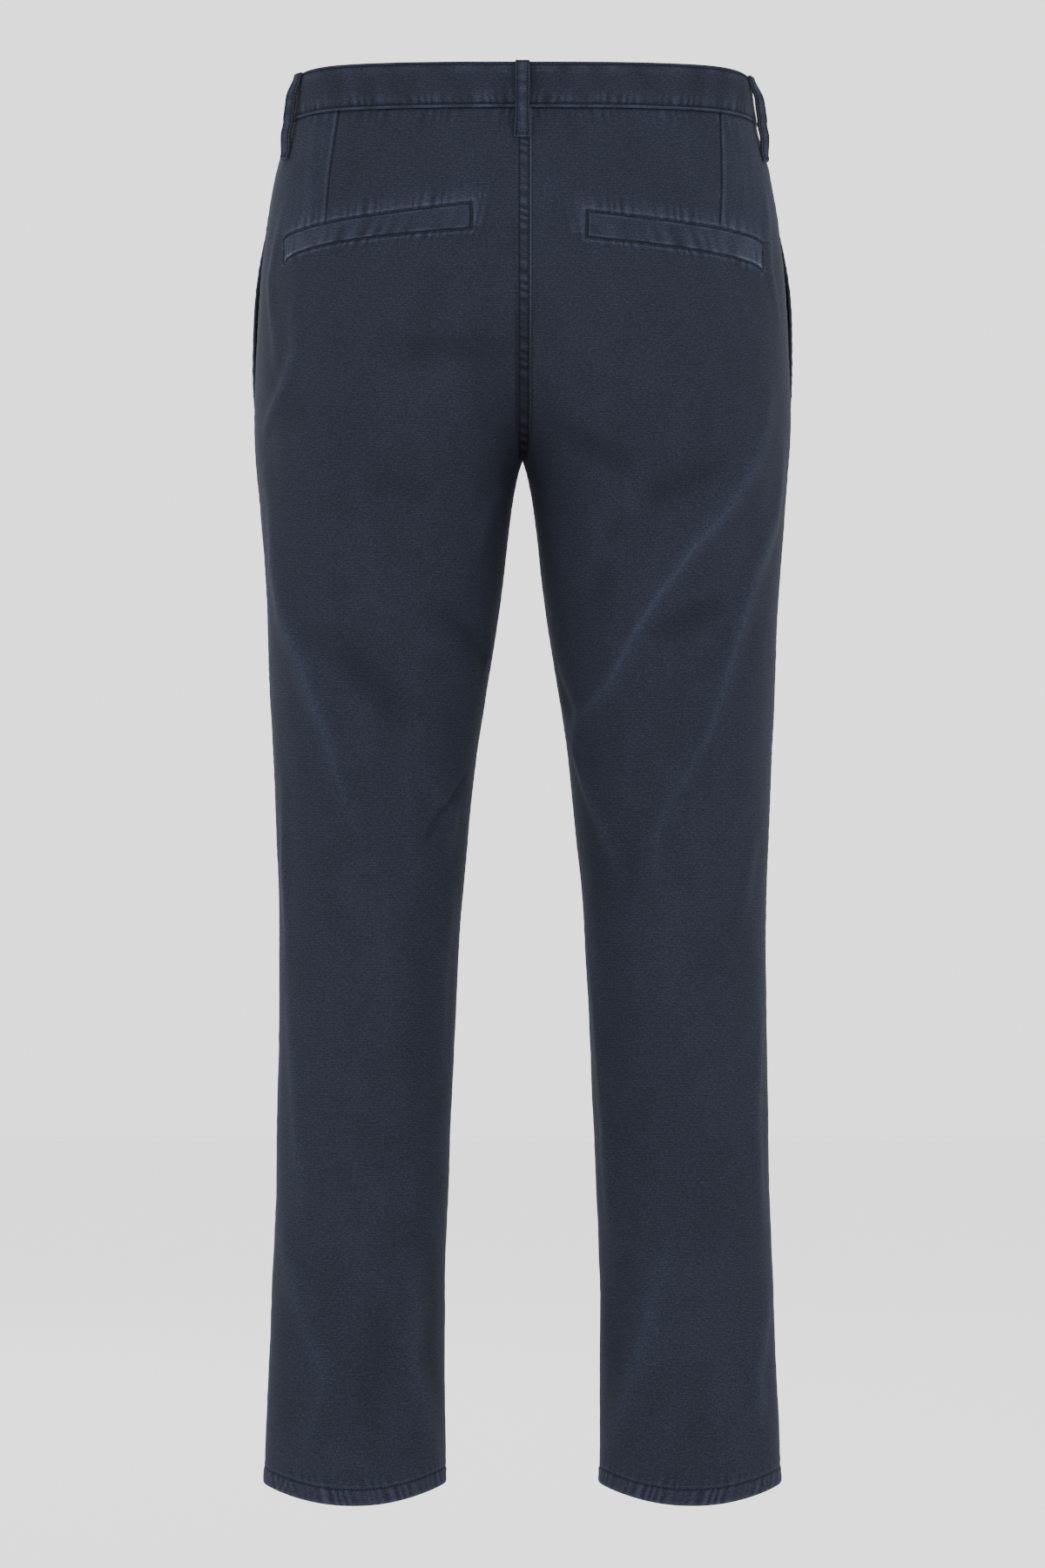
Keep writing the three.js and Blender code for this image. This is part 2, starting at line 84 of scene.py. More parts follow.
GARMENT_MIDDLE = (0, 0, -0.5)
soft_box("light_left", (-2.8, -2.4, 0.5), GARMENT_MIDDLE, 1.6, 34)
soft_box("light_right", (2.8, -1.4, 0.2), GARMENT_MIDDLE, 1.6, 24)
soft_box("light_top", (0, -0.6, 2.6), GARMENT_MIDDLE, 1.8, 22)
soft_box("light_fly_side", (-1.4, 3.2, 0.9), GARMENT_MIDDLE, 1.8, 24)

world = bpy.data.worlds.new("studio_air")
world.use_nodes = True
background = world.node_tree.nodes["Background"]
background.inputs["Color"].default_value = (1, 1, 1, 1)
background.inputs["Strength"].default_value = 2.0
bpy.context.scene.world = world

FLOOR_LEVEL = -1.22
FLOOR_SIZE = 16
FLOOR_CUTS = 7
bpy.ops.mesh.primitive_plane_add(size=FLOOR_SIZE, location=(0, 0, FLOOR_LEVEL))
floor = bpy.context.object
floor.name = "studio_floor"
bpy.ops.object.transform_apply(location=True, rotation=False, scale=False)
bpy.ops.object.mode_set(mode="EDIT")
bpy.ops.mesh.subdivide(number_cuts=FLOOR_CUTS)
bpy.ops.object.mode_set(mode="OBJECT")
paper = bpy.data.materials.new("matt_paper")
paper.use_nodes = True
paper_shader = paper.node_tree.nodes["Principled BSDF"]
paper_shader.inputs["Base Color"].default_value = srgb("#f4f4f4")
paper_shader.inputs["Roughness"].default_value = 1.0
floor.data.materials.append(paper)

# Back panels: each is one piece of ribbed cotton from waist to hem, with a dart over the pocket. The
# two are felled together down the seat, sewn plain to the fronts at the sides, and hemmed by machine.
# All places here are millimetres in the frame of the part, and MM turns them to metres.
MM = 0.001
LEFT, RIGHT = -1, 1
WORDS = {LEFT: "left", RIGHT: "right"}
CROTCH = -272
HEM = -1045  # the hem's edge at the sides
HEM_DEPTH = 12
HEM_DROP_BACK = 12.5
HEM_RISE_FRONT = 9
HEM_SLOPE_START = -900
HEM_BEND = 2.4  # the power of the hem's curve from the sides to its lowest and highest points
WAIST_DROP_FRONT = 16
WAIST_DROP_SIDE = 5
WAIST_SLOPE_START = -170
BAND_TOP = 19
BAND_FOOT = -15.5
GAP = 0.02  # between the two halves and at the inseams, closed up here from the solids' 0.3
TUCK = 0.4  # how far panels run into each other at the side seams and below the fly
CLOTH = 0.9
HEM_LAYER = 0.9  # what the turned-up layer adds to the cloth
VALLEY = 9  # radius of the hollow along the seat seam and the fly
VALLEY_REACH = 30  # how far from the middle the hollow is felt

# The body of each half: a superellipse at each height, cut off at the middle plane above the crotch.
SECTION_NAMES = ("z", "outer", "inner_back", "inner_front", "mid", "back", "front", "square", "seam")
SECTIONS = np.array(
    [
        (18, 172.5, -172.5, -172.5, 0, 105, 98, 2.8, 6),
        (-17, 177, -177, -177, 0, 111, 103, 2.6, 8),
        (-55, 187, -178, -187, 0, 120, 109, 2.4, 10),
        (-107, 195, -150, -173, 0, 131, 114, 2.3, 13),
        (-150, 199, -106, -125, 0, 138, 117, 2.25, 14),
        (-190, 201, -66, -80, 0, 140, 118, 2.2, 13),
        (-220, 202.4, -38, -46, 0, 138, 117.2, 2.15, 11),
        (-245, 203, -16.5, -20, 0, 133, 115.6, 2.13, 8),
        (-262, 202.6, -4.6, -6, 0, 128, 114, 2.1, 6),
        (-272, 202, 0.3, 0.3, 0, 125, 112.9, 2.1, 5),
        (-282, 201.2, 3.6, 3.6, 0, 121, 111.7, 2.1, 4),
        (-320, 198, 9.8, 9.8, 0, 110, 106.5, 2.1, 0),
        (-385, 193.4, 17.5, 17.5, 1, 100, 98, 2.1, 0),
        (-451, 191, 28, 28, 3, 91, 91, 2.1, 0),
        (-517, 188.3, 37, 37, 5, 83, 83, 2.1, 0),
        (-636, 184.6, 47.9, 47.9, 6, 72, 72, 2.1, 0),
        (-781, 185.9, 54.4, 54.4, 2, 66, 63, 2.1, 0),
        (-913, 190.2, 59.1, 59.1, -4, 60, 57, 2.1, 0),
        (-1045, 195.4, 58.4, 58.4, -8, 53, 51, 2.1, 0),
    ]
)[::-1]
HEIGHTS = SECTIONS[:, 0]


def monotone_slopes(values):
    """Slopes at the rows of the section table that let no width overshoot between two rows."""
    chords = np.diff(values) / np.diff(HEIGHTS)
    agree = chords[:-1] * chords[1:] > 0
    total = np.where(agree, chords[:-1] + chords[1:], 1)
    inside = np.where(agree, 2 * chords[:-1] * chords[1:] / total, 0)
    return np.concatenate([chords[:1], inside, chords[-1:]])


SLOPES = np.array([monotone_slopes(SECTIONS[:, i]) for i in range(len(SECTION_NAMES))]).T


def profile(name, z):
    """One column of the section table at the heights z, through a monotone cubic."""
    column = SECTION_NAMES.index(name)
    z = np.clip(z, HEIGHTS[0], HEIGHTS[-1])
    i = np.clip(np.searchsorted(HEIGHTS, z) - 1, 0, len(HEIGHTS) - 2)
    span = HEIGHTS[i + 1] - HEIGHTS[i]
    t = (z - HEIGHTS[i]) / span
    low = (1 + 2 * t) * (1 - t) ** 2 * SECTIONS[i, column] + t * (1 - t) ** 2 * span * SLOPES[i, column]
    high = t * t * (3 - 2 * t) * SECTIONS[i + 1, column] + t * t * (t - 1) * span * SLOPES[i + 1, column]
    return low + high


def smooth(value, start, end):
    """A soft step from 0 at start to 1 at end."""
    t = np.clip((value - start) / (end - start), 0, 1)
    return t * t * (3 - 2 * t)


def ridge(distance, width):
    """A bell curve: 1 on a line, and near 0 from about twice its width away."""
    return np.exp(-((distance / width) ** 2))


def section_at(z, back):
    """Centre and half width of a half's section, its depth to the back or front, and its power."""
    outer = profile("outer", z)
    inner = np.where(back, profile("inner_back", z), profile("inner_front", z))
    depth = np.where(back, profile("back", z), profile("front", z))
    return (outer + inner) / 2, (outer - inner) / 2, depth, profile("square", z)


def place(side, across, reach, z, back):
    """The point at a distance from the middle plane, and a share of the section's depth."""
    face = np.where(back, 1, -1)
    depth = np.where(back, profile("back", z), profile("front", z))
    at_hem = smooth(-z, -HEM_SLOPE_START, -HEM)
    at_waist = smooth(z, WAIST_SLOPE_START, BAND_TOP)
    at_side = 1 - smooth(reach, 0.1, 0.8)
    hem_lift = np.where(back, -HEM_DROP_BACK, HEM_RISE_FRONT) * reach**HEM_BEND
    waist_lift = np.where(back, 0, -WAIST_DROP_FRONT) * reach - WAIST_DROP_SIDE * at_side
    level = z + hem_lift * at_hem + waist_lift * at_waist
    return np.stack([side * across, profile("mid", z) - face * depth * reach, level], axis=-1)


def valley_reach(across, z, back):
    """The share of the depth at a distance from the middle, with the crease along the middle rounded."""
    centre, half, _, square = section_at(z, back)
    round_by = VALLEY * smooth(z, CROTCH, CROTCH + 45) * ridge(across, VALLEY_REACH)
    share = np.clip(np.abs(np.hypot(across, round_by) - centre) / half, 0, 1)
    return (1 - share**square) ** (1 / square)


def body_point(side, angle, z):
    """The smooth body: angle is 0 at the outer side, and grows to the back or falls to the front."""
    back = angle >= 0
    centre, half, _, square = section_at(z, back)
    cosine = np.cos(angle)
    across = centre + half * np.sign(cosine) * np.abs(cosine) ** (2 / square)
    reach = np.abs(np.sin(angle)) ** (2 / square)
    near_middle = (z > CROTCH) & (np.abs(across) < 95)
    reach = np.where(near_middle, valley_reach(across, z, back), reach)
    return place(side, across, reach, z, back)


def unit(vectors):
    return vectors / np.maximum(np.linalg.norm(vectors, axis=-1, keepdims=True), 1e-9)


def body_normal(side, angle, z):
    """The outward normal of the smooth body, from its slopes over small steps round it and up it."""
    nearest = 0.02  # radians: the outer side itself has no clear slope, so it is taken beside it
    step = 0.018
    rise = 1.0
    at = np.where(np.abs(angle) < nearest, np.where(angle >= 0, nearest, -nearest), angle)
    around = body_point(side, at + step, z) - body_point(side, at - step, z)
    up = body_point(side, at, z + rise) - body_point(side, at, z - rise)
    return unit(np.cross(around, up)) * -side


# Folds: ridges stand out and troughs, with a negative height, sink in. Each has a height and a width
# in mm, how sharp its crest is from 0 to 1, and a path of degrees round the leg from its outer side
# (the back is positive) and heights. Those of the hidden front are of the same kind as those behind.
FOLDS = (
    (
        LEFT, 3.4, 11, 1,
        ((20, -278), (27, -307), (26, -355), (33, -389), (50, -433), (65, -481), (77, -535), (87, -566)),
    ),
    (LEFT, 2.1, 6.8, 0.5, ((37, -154), (43, -197), (38, -225), (23, -259))),
    (LEFT, -3.0, 14, 0, ((73, -188), (87, -195), (120, -203))),
    (LEFT, -2.2, 15, 0, ((41, -222), (54, -252))),
    (LEFT, -1.6, 11, 0, ((84, -288), (112, -307))),
    (LEFT, 1.7, 7.6, 0.3, ((152, -285), (144, -309), (139, -348))),
    (LEFT, -3.8, 15, 0, ((47, -401), (71, -417), (89, -442), (111, -481))),
    (LEFT, -3.2, 13, 0, ((111, -381), (164, -425))),
    (LEFT, -1.8, 4, 0.5, ((125, -561), (133, -540), (156, -509))),
    (LEFT, 2.1, 7.6, 0.2, ((127, -520), (144, -540), (144, -573))),
    (LEFT, 2.0, 7.6, 0.3, ((28, -510), (24, -583), (28, -655))),
    (LEFT, 2.1, 7.6, 0.4, ((30, -668), (41, -759), (53, -853))),
    (LEFT, 2.6, 8.5, 0.4, ((25, -848), (50, -909), (72, -957), (56, -1013))),
    (LEFT, 2.0, 10.2, 0.1, ((150, -589), (146, -668), (144, -746))),
    (LEFT, 2.9, 9.3, 0.3, ((135, -864), (130, -948), (157, -1031))),
    (LEFT, -1.8, 13, 0, ((100, -895), (102, -1015))),
    (LEFT, 1.6, 10.2, 0, ((77, -572), (85, -621))),
    (LEFT, 1.6, 6, 0.6, ((23, -80), (20, -138), (27, -175), (33, -208))),
    (
        RIGHT, 3.9, 10.2, 1,
        ((31, -218), (38, -251), (47, -280), (62, -315), (77, -341), (100, -395), (121, -443), (162, -483)),
    ),
    (RIGHT, 3.4, 9.3, 1, ((20, -258), (25, -316), (43, -365), (55, -414), (71, -481), (89, -527))),
    (RIGHT, -3.2, 12, 0, ((136, -246), (121, -265), (101, -287))),
    (RIGHT, -3.0, 12, 0, ((102, -310), (59, -279))),
    (RIGHT, -2.0, 13, 0, ((119, -332), (96, -323))),
    (RIGHT, -3.5, 12, 0, ((98, -410), (59, -378))),
    (RIGHT, -1.9, 12, 0, ((115, -349), (127, -387))),
    (RIGHT, -2.0, 9, 0, ((172, -431), (152, -471))),
    (RIGHT, 2.1, 6, 0.7, ((163, -485), (150, -517), (139, -543), (126, -586))),
    (RIGHT, 2.0, 7.6, 0.3, ((82, -504), (100, -553), (101, -589))),
    (RIGHT, -2.0, 10, 0, ((118, -556), (117, -602))),
    (RIGHT, 1.8, 6.8, 0.3, ((34, -556), (47, -625))),
    (RIGHT, 2.3, 9.3, 0.3, ((163, -655), (151, -763), (146, -890))),
    (RIGHT, 2.1, 7.6, 0.2, ((24, -681), (34, -766), (28, -858))),
    (RIGHT, 3.1, 11.9, 0.15, ((99, -849), (121, -934), (154, -1024))),
    (RIGHT, 2.6, 7.6, 0.4, ((23, -904), (42, -954), (41, -998))),
    (RIGHT, -1.6, 13, 0, ((155, -897), (142, -960))),
    (RIGHT, -1.6, 14, 0, ((81, -944), (88, -1014))),
    (RIGHT, 1.6, 6, 0.5, ((18, -62), (21, -95), (25, -130), (21, -178))),
    (LEFT, 3.1, 10.2, 0.6, ((-58, -470), (-108, -540), (-158, -575))),
    (LEFT, 2.6, 9.3, 0.7, ((-72, -205), (-120, -228), (-164, -258))),
    (LEFT, 2.1, 7.6, 0.4, ((-95, -250), (-132, -266), (-168, -282))),
    (LEFT, -2.8, 13, 0, ((-70, -500), (-128, -520))),
    (LEFT, 2.0, 7.6, 0.3, ((-150, -610), (-104, -664))),
    (LEFT, 2.5, 10.2, 0.3, ((-55, -850), (-72, -1020))),
    (LEFT, -1.9, 13, 0, ((-100, -900), (-112, -1020))),
    (LEFT, 1.8, 8.5, 0.2, ((-40, -300), (-52, -420))),
    (RIGHT, 3.2, 10.2, 0.6, ((-48, -488), (-100, -548), (-150, -566))),
    (RIGHT, 2.9, 9.3, 0.7, ((-66, -196), (-112, -230), (-160, -262))),
    (RIGHT, 2.0, 7.6, 0.4, ((-90, -262), (-128, -272), (-166, -292))),
    (RIGHT, -2.5, 13, 0, ((-62, -520), (-120, -524))),
    (RIGHT, 2.1, 7.6, 0.3, ((-156, -600), (-98, -650))),
    (RIGHT, 2.5, 10.2, 0.3, ((-62, -880), (-84, -1010))),
    (RIGHT, -1.8, 13, 0, ((-120, -890), (-128, -1010))),
    (RIGHT, 1.8, 8.5, 0.2, ((-38, -310), (-46, -440))),
)
CREST_WIDTH = 2.0
CREST_HEIGHT = 0.5
CREST_PAINTED_HIGHLIGHT = 0.19  # how much a painted highlight lightens a sharp crest
FOLD_PAINTED_SHADING = 0.05  # painted highlight on ridges and painted shade in hollows, for each mm of a fold's height
FOLD_TAPER = 0.6  # the power with which a fold runs out at its ends


def folds_at(side, angle, z):
    """The height of all folds at a place, and their painted shading: lit crests and shaded hollows."""
    centre, half, depth, _ = section_at(z, angle >= 0)
    per_degree = np.radians((half + depth) / 2)
    degrees = np.degrees(angle)
    total = np.zeros(np.broadcast(angle, z).shape)
    painted_light_and_wear = np.zeros(total.shape)
    for fold_side, height, width, sharp, path in FOLDS:
        if fold_side != side:
            continue
        nearest = np.full(total.shape, np.inf)
        progress = np.zeros(total.shape)
        passed = np.zeros(total.shape)
        for (start_degrees, start_z), (end_degrees, end_z) in zip(path, path[1:]):
            across = (end_degrees - start_degrees) * per_degree
            down = end_z - start_z
            length = np.hypot(across, down)
            off = (degrees - start_degrees) * per_degree
            t = np.clip((off * across + (z - start_z) * down) / length**2, 0, 1)
            distance = np.hypot(off - t * across, z - start_z - t * down)
            closer = distance < nearest
            nearest = np.where(closer, distance, nearest)
            progress = np.where(closer, passed + t * length, progress)
            passed = passed + length
        along = np.sin(np.pi * np.clip(progress / passed, 0, 1)) ** FOLD_TAPER
        line = sharp * along * ridge(nearest, CREST_WIDTH) * np.sign(height)
        total += height * along * ridge(nearest, width) + CREST_HEIGHT * line
        # Painted shading: a highlight along sharp crests, and ridges lighter and hollows darker by height.
        painted_light_and_wear += CREST_PAINTED_HIGHLIGHT * line + FOLD_PAINTED_SHADING * height * along * ridge(nearest, width * 0.8)
    return total, painted_light_and_wear


BROAD_HOLLOWS = (75, 0.9)  # size and depth
SMALL_HOLLOWS = (24, 0.22)


def unevenness(points):
    """The slight hollows and swellings of worn cloth: broad ones and a few small ones."""
    flat = points.reshape(-1, 3)
    depths = np.zeros(len(flat))
    for size, depth in (BROAD_HOLLOWS, SMALL_HOLLOWS):
        depths += depth * np.array([noise.noise(Vector(spot)) for spot in flat / size])
    return depths.reshape(points.shape[:-1])


def seam_angle(z):
    """The angle of the side seam, which runs a little behind the widest point."""
    depth = profile("back", z)
    return np.arcsin(np.clip(profile("seam", z) / depth, 0, 1) ** (profile("square", z) / 2))


def angle_across(distance, z, back):
    """The angle at a distance from the middle plane."""
    centre, half, _, square = section_at(z, back)
    share = np.clip((distance - centre) / half, -1, 1)
    angle = np.arccos(np.sign(share) * np.abs(share) ** (square / 2))
    return np.where(back, angle, -angle)


def inner_edge(z, back):
    """The angle where a panel ends: the inseam below the crotch, and the middle plane above it."""
    depth = section_at(z, back)[2]
    inseam = np.pi - (GAP / 2 / depth) ** (profile("square", z) / 2)
    limit = np.minimum(np.abs(angle_across(GAP / 2, z, back)), inseam)
    return np.where(back, limit, -limit)


# Lengths round the body at each height, to place things in mm along the cloth.
GIRTH_STEP = 3.0
GIRTH_Z = np.arange(HEM, BAND_TOP + GIRTH_STEP, GIRTH_STEP)
GIRTH_ANGLES = np.radians(np.arange(-180, 180.5, 1.0))
girth_points = body_point(RIGHT, GIRTH_ANGLES[None, :], GIRTH_Z[:, None])
girth_steps = np.linalg.norm(np.diff(girth_points, axis=1), axis=2)
GIRTH = np.concatenate([np.zeros((len(GIRTH_Z), 1)), np.cumsum(girth_steps, axis=1)], axis=1)
GIRTH -= GIRTH[:, [len(GIRTH_ANGLES) // 2]]


def girth_row(z):
    """The lengths to all of GIRTH_ANGLES at one height."""
    k = min(max((z - GIRTH_Z[0]) / GIRTH_STEP, 0), len(GIRTH_Z) - 1.001)
    low = int(k)
    return GIRTH[low] * (1 - k + low) + GIRTH[low + 1] * (k - low)


def length_to(angle, z):
    """Millimetres round the cloth from the outer side to each angle."""
    return np.array([np.interp(a, GIRTH_ANGLES, girth_row(h)) for a, h in zip(angle, z)])


def angle_after(length, z):
    """The angle at each length round the cloth. length has a row for each height."""
    return np.array([np.interp(row, girth_row(h), GIRTH_ANGLES) for row, h in zip(length, z)])


def ripple(along, pitch, seed):
    """Uneven puckers along a seam, between -1 and 1."""
    wander = 1.5 * np.sin(along / pitch * 1.7 + seed) + 0.9 * np.sin(along / pitch * 0.61 + 2.3 * seed)
    swell = 0.62 + 0.38 * np.sin(along / pitch * 0.83 + 3.1 * seed)
    return swell * np.sin(2 * np.pi * along / pitch + wander)


# The outlines of the back pocket welts, as seen from behind: distances from the middle, and heights of
# both edges at the inner end, part of the way out and at the outer end. A dart is a line from the band
# to its welt, with the height and the distance from the middle of each end.
WELTS = {
    LEFT: {"inner": 38.7, "outer": 178, "top": (-88.5, -99.7, -110), "foot": (-106.5, -114.7, -127)},
    RIGHT: {"inner": 48.4, "outer": 178.5, "top": (-94.6, -104.2, -113.3), "foot": (-112.8, -122.4, -133.2)},
}
DARTS = {LEFT: ((BAND_FOOT, 137.6), (-101, 146.2)), RIGHT: ((BAND_FOOT, 148.3), (-101, 146.9))}


def through_three(values, t):
    """The value at a share t of the way, on a parabola through three values."""
    start, middle, end = values
    return start * (1 - t) * (1 - 2 * t) + middle * 4 * t * (1 - t) + end * t * (2 * t - 1)


def outside_welt(side, angle, z):
    """How far a place is outside the welt's outline, in mm. It is negative inside."""
    welt = WELTS[side]
    across = side * body_point(side, angle, z)[..., 0]
    share = (across - welt["inner"]) / (welt["outer"] - welt["inner"])
    t = np.arcsin(np.clip(share, 0, 1)) / (np.pi / 2)
    above = z - through_three(welt["top"], t)
    below = through_three(welt["foot"], t) - z
    beside = np.maximum(welt["inner"] - across, (across - welt["outer"]) * 2.2)
    return np.maximum(np.maximum(above, below), beside)


def dart_angle(side, z):
    """The angle of the dart's line at the heights z."""
    (top, top_x), (foot, foot_x) = DARTS[side]
    x = np.interp(z, (foot, top), (foot_x, top_x))
    return angle_across(x, z, True)


def hem_relief(along, height, seed):
    """The roped hem: puckers that lean across it, a groove along its stitches and a rounded fold."""
    on_hem = smooth(height, HEM_DEPTH + 0.6, HEM_DEPTH - 1.4)
    rope = ripple(along + 0.35 * height, 6.4, seed)
    above = ripple(along + 0.3 * height, 7, seed + 1) * ridge(height - HEM_DEPTH - 4, 4)
    lift = on_hem * (0.5 + 0.3 * rope * smooth(height, -2, 4)) - 0.4 * ridge(height - HEM_DEPTH, 0.8)
    lift += 0.14 * above - 0.5 * (1 - smooth(height, 0, 1.4))
    # Worn lighter at the fold; painted shading on the puckers and painted shade in the stitches' groove.
    wear_and_painted_shading = on_hem * (0.12 + 0.36 * rope) + 0.35 * ridge(height - 1, 1.2) + 0.2 * above
    wear_and_painted_shading += -0.3 * ridge(height - HEM_DEPTH, 0.8) + 0.3 * ridge(height - HEM_DEPTH - 1.6, 0.9)
    return np.array([lift, wear_and_painted_shading])


def edge_relief(distance, along, seed):
    """A pressed seam edge: it rolls under in its last millimetre, and puckers slightly behind it."""
    puckers = ripple(along, 9, seed) * ridge(distance - 3, 4)
    lift = -0.55 * (1 - smooth(distance, 0, 1.3)) + 0.32 * ridge(distance - 2, 1.7) + 0.16 * puckers
    # Painted shade where the edge rolls under, the seam behind it worn lighter, painted shading on puckers.
    wear_and_painted_shading = -0.8 * (1 - smooth(distance, 0, 0.9)) + 0.3 * ridge(distance - 1.6, 1.0) + 0.12 * puckers
    return np.array([lift, wear_and_painted_shading])


def back_relief(side, angle, z, from_seam, from_middle):
    """How far the cloth of a back stands out at its seams, dart and welt, and its wear and painted shade."""
    from_inseam = np.where(z < CROTCH - 6, from_middle, 99)
    seams = edge_relief(from_seam, z, side * 0.7) + edge_relief(from_inseam, z, side * 1.9)
    lift, wear_and_painted_shading = seams + hem_relief(from_seam, z - HEM, 2 + side)
    # The dart: a stitched groove from the band to the welt, with painted shade in the groove and a painted
    # highlight on the side of the hip, where the cloth is drawn into soft upright wrinkles.
    dart_foot = DARTS[side][1][0]
    off_dart = from_seam - length_to_dart(side, z[:, 0])[:, None] + 1.1 * np.sin((z - dart_foot) / 19)
    on_dart = smooth(z, dart_foot - 2, dart_foot + 2)
    lift += on_dart * (-0.5 * ridge(off_dart, 1.1) + 0.3 * ridge(off_dart + 4.5, 3.5))
    wear_and_painted_shading += on_dart * (-0.75 * ridge(off_dart, 0.8) + 0.4 * ridge(off_dart + 2.4, 1.5))
    wrinkles = ripple(from_seam + 0.2 * z, 10, side + 6) * smooth(-off_dart, 3, 10) * smooth(z, -118, -92)
    lift += 0.14 * wrinkles
    wear_and_painted_shading += 0.05 * wrinkles + 0.1 * smooth(-off_dart, 2, 12) * smooth(z, -118, -92)
    # Round the welt the cloth is folded in at the outline and pinched by the stitches beside it. The
    # puckers run far up towards the band, and are short below.
    outside = outside_welt(side, angle, z)
    above_welt = smooth(z, WELTS[side]["foot"][2] + 4, WELTS[side]["top"][0] + 2)
    reach = np.where(above_welt > 0.5, 9.0, 4.0)
    pinched = ridge(np.maximum(outside - 2.5, 0), reach) * smooth(outside, 0, 2)
    puckers = ripple(from_seam + 0.15 * outside, 6.4, side) * pinched
    lift += -0.5 * ridge(outside, 0.8) + 0.3 * ridge(outside - 3.4, 1.6) - 0.5 * smooth(-outside, 0, 0.9)
    lift += 0.36 * puckers
    # Painted shade in the outline's groove, painted highlights on the ridge and puckers round it.
    wear_and_painted_shading += -0.6 * ridge(outside, 0.6) - 0.2 * ridge(outside - 1.7, 0.6) + 0.35 * ridge(outside - 3, 1.1)
    wear_and_painted_shading += 0.36 * puckers + 0.2 * np.where(above_welt > 0.5, pinched, 0)
    # Under the band the cloth is drawn in by the seam, with a painted shadow along the band's foot.
    below_band = BAND_FOOT - z
    drawn = ripple(from_seam, 7, side + 3) * ridge(below_band - 4, 6)
    lift += -0.5 * ridge(below_band, 1.5) + 0.22 * drawn - 0.9 * smooth(-below_band, -0.6, 0.8)
    wear_and_painted_shading += -0.6 * ridge(below_band, 1.3) + 0.2 * drawn
    return lift, wear_and_painted_shading


def back_width(levels):
    """Millimetres round a back panel from the side seam to its inner edge."""
    return length_to(inner_edge(levels, True), levels) - length_to(seam_angle(levels), levels)


def length_to_dart(side, levels):
    """Millimetres from the side seam to the dart's line at each level, continued down the leg."""
    on_dart = np.maximum(levels, DARTS[side][1][0])
    dart = length_to(dart_angle(side, on_dart), on_dart) - length_to(seam_angle(on_dart), on_dart)
    return dart / back_width(on_dart) * back_width(levels)


TWILL_COLOUR = "#1d1f28"
RIB_PITCH = 0.95  # coarser than the real ribs, so that they show


def twill_material():
    """Garment-washed cotton with fine crosswise ribs: matt, with a faint bloom at glancing angles."""
    material = bpy.data.materials.new("washed_ribbed_cotton")
    material.use_nodes = True
    tree = material.node_tree
    shader = tree.nodes["Principled BSDF"]

    def noise_at(scale, detail):
        """Noise on the cloth's own map, which is in metres. scale is for each metre along and up."""
        mapped = add_node(tree, "ShaderNodeMapping", {"Vector": cloth_map, "Scale": scale}).outputs[0]
        settings = {"Vector": mapped, "Scale": 1.0, "Detail": detail}
        return add_node(tree, "ShaderNodeTexNoise", settings).outputs[0]

    def maths(operation, *values):
        return add_node(tree, "ShaderNodeMath", dict(enumerate(values)), operation=operation).outputs[0]

    cloth_map = add_node(tree, "ShaderNodeUVMap", uv_map="cloth").outputs[0]
    split = add_node(tree, "ShaderNodeSeparateXYZ", {"Vector": cloth_map})
    # Ribs run across the leg, and are broken by slubs, which are yarns of about 3 by 0.9 mm that are
    # thicker. Specks are 1 mm. The wash leaves clouds of a hand's width and patches of 2 to 3 cm.
    slub = noise_at((330, 1150, 1), 2.0)
    speck = noise_at((900, 700, 1), 2.0)
    cloud = noise_at((11, 8, 1), 4.0)
    patch = noise_at((45, 30, 1), 3.0)
    waves = 2 * math.pi / (RIB_PITCH * MM)
    ribs = maths("SINE", maths("MULTIPLY_ADD", split.outputs[1], waves, maths("MULTIPLY", slub, 5.0)))
    weave = maths("MULTIPLY_ADD", slub, 2.6, maths("MULTIPLY_ADD", speck, 1.6, maths("MULTIPLY", ribs, 0.5)))
    bump = add_node(tree, "ShaderNodeBump", {"Height": weave, "Strength": 0.6, "Distance": 0.00012})
    tree.links.new(bump.outputs[0], shader.inputs["Normal"])

    # Tone: 0.5 is the plain cloth. The cloth's attribute darkens seams, grooves and hollows with painted
    # shade, lightens crests and puckers with painted highlights, and bleaches worn edges.
    wear_and_painted_shading = add_node(tree, "ShaderNodeAttribute", attribute_name="wear_and_painted_shading").outputs["Fac"]
    tone = maths("MULTIPLY", wear_and_painted_shading, 0.55)
    for source, amount in ((cloud, 0.08), (patch, 0.06), (slub, 0.2), (speck, 0.36), (ribs, 0.065)):
        middle = 0 if source == ribs else 0.5
        tone = maths("MULTIPLY_ADD", maths("SUBTRACT", source, middle), amount * 2, tone)
    tone = maths("MULTIPLY_ADD", tone, 0.5, 0.5)
    ramp = add_node(tree, "ShaderNodeValToRGB", {"Fac": tone})
    stops = ((0.2, "#0a0b0f"), (0.5, TWILL_COLOUR), (0.75, "#323744"), (1.0, "#4e566a"))
    elements = ramp.color_ramp.elements
    elements[0].position = stops[0][0]
    for at, _ in stops[1:-1]:
        elements.new(at)
    for element, (_, code) in zip(elements, stops):
        element.color = srgb(code)
    tree.links.new(ramp.outputs[0], shader.inputs["Base Color"])
    shader.inputs["Roughness"].default_value = 0.9
    shader.inputs["Specular IOR Level"].default_value = 0.05
    shader.inputs["Sheen Weight"].default_value = 0.055
    shader.inputs["Sheen Roughness"].default_value = 0.4
    shader.inputs["Sheen Tint"].default_value = srgb("#8d98ad")
    return material


twill = twill_material()


def add_piece(name, mesh):
    piece = bpy.data.objects.new(name, mesh)
    bpy.context.collection.objects.link(piece)
    return piece


def select_only(piece):
    bpy.ops.object.select_all(action="DESELECT")
    piece.select_set(True)
    bpy.context.view_layer.objects.active = piece


INSIDE_TONE = -0.1  # the inside is a little darker than the plain cloth
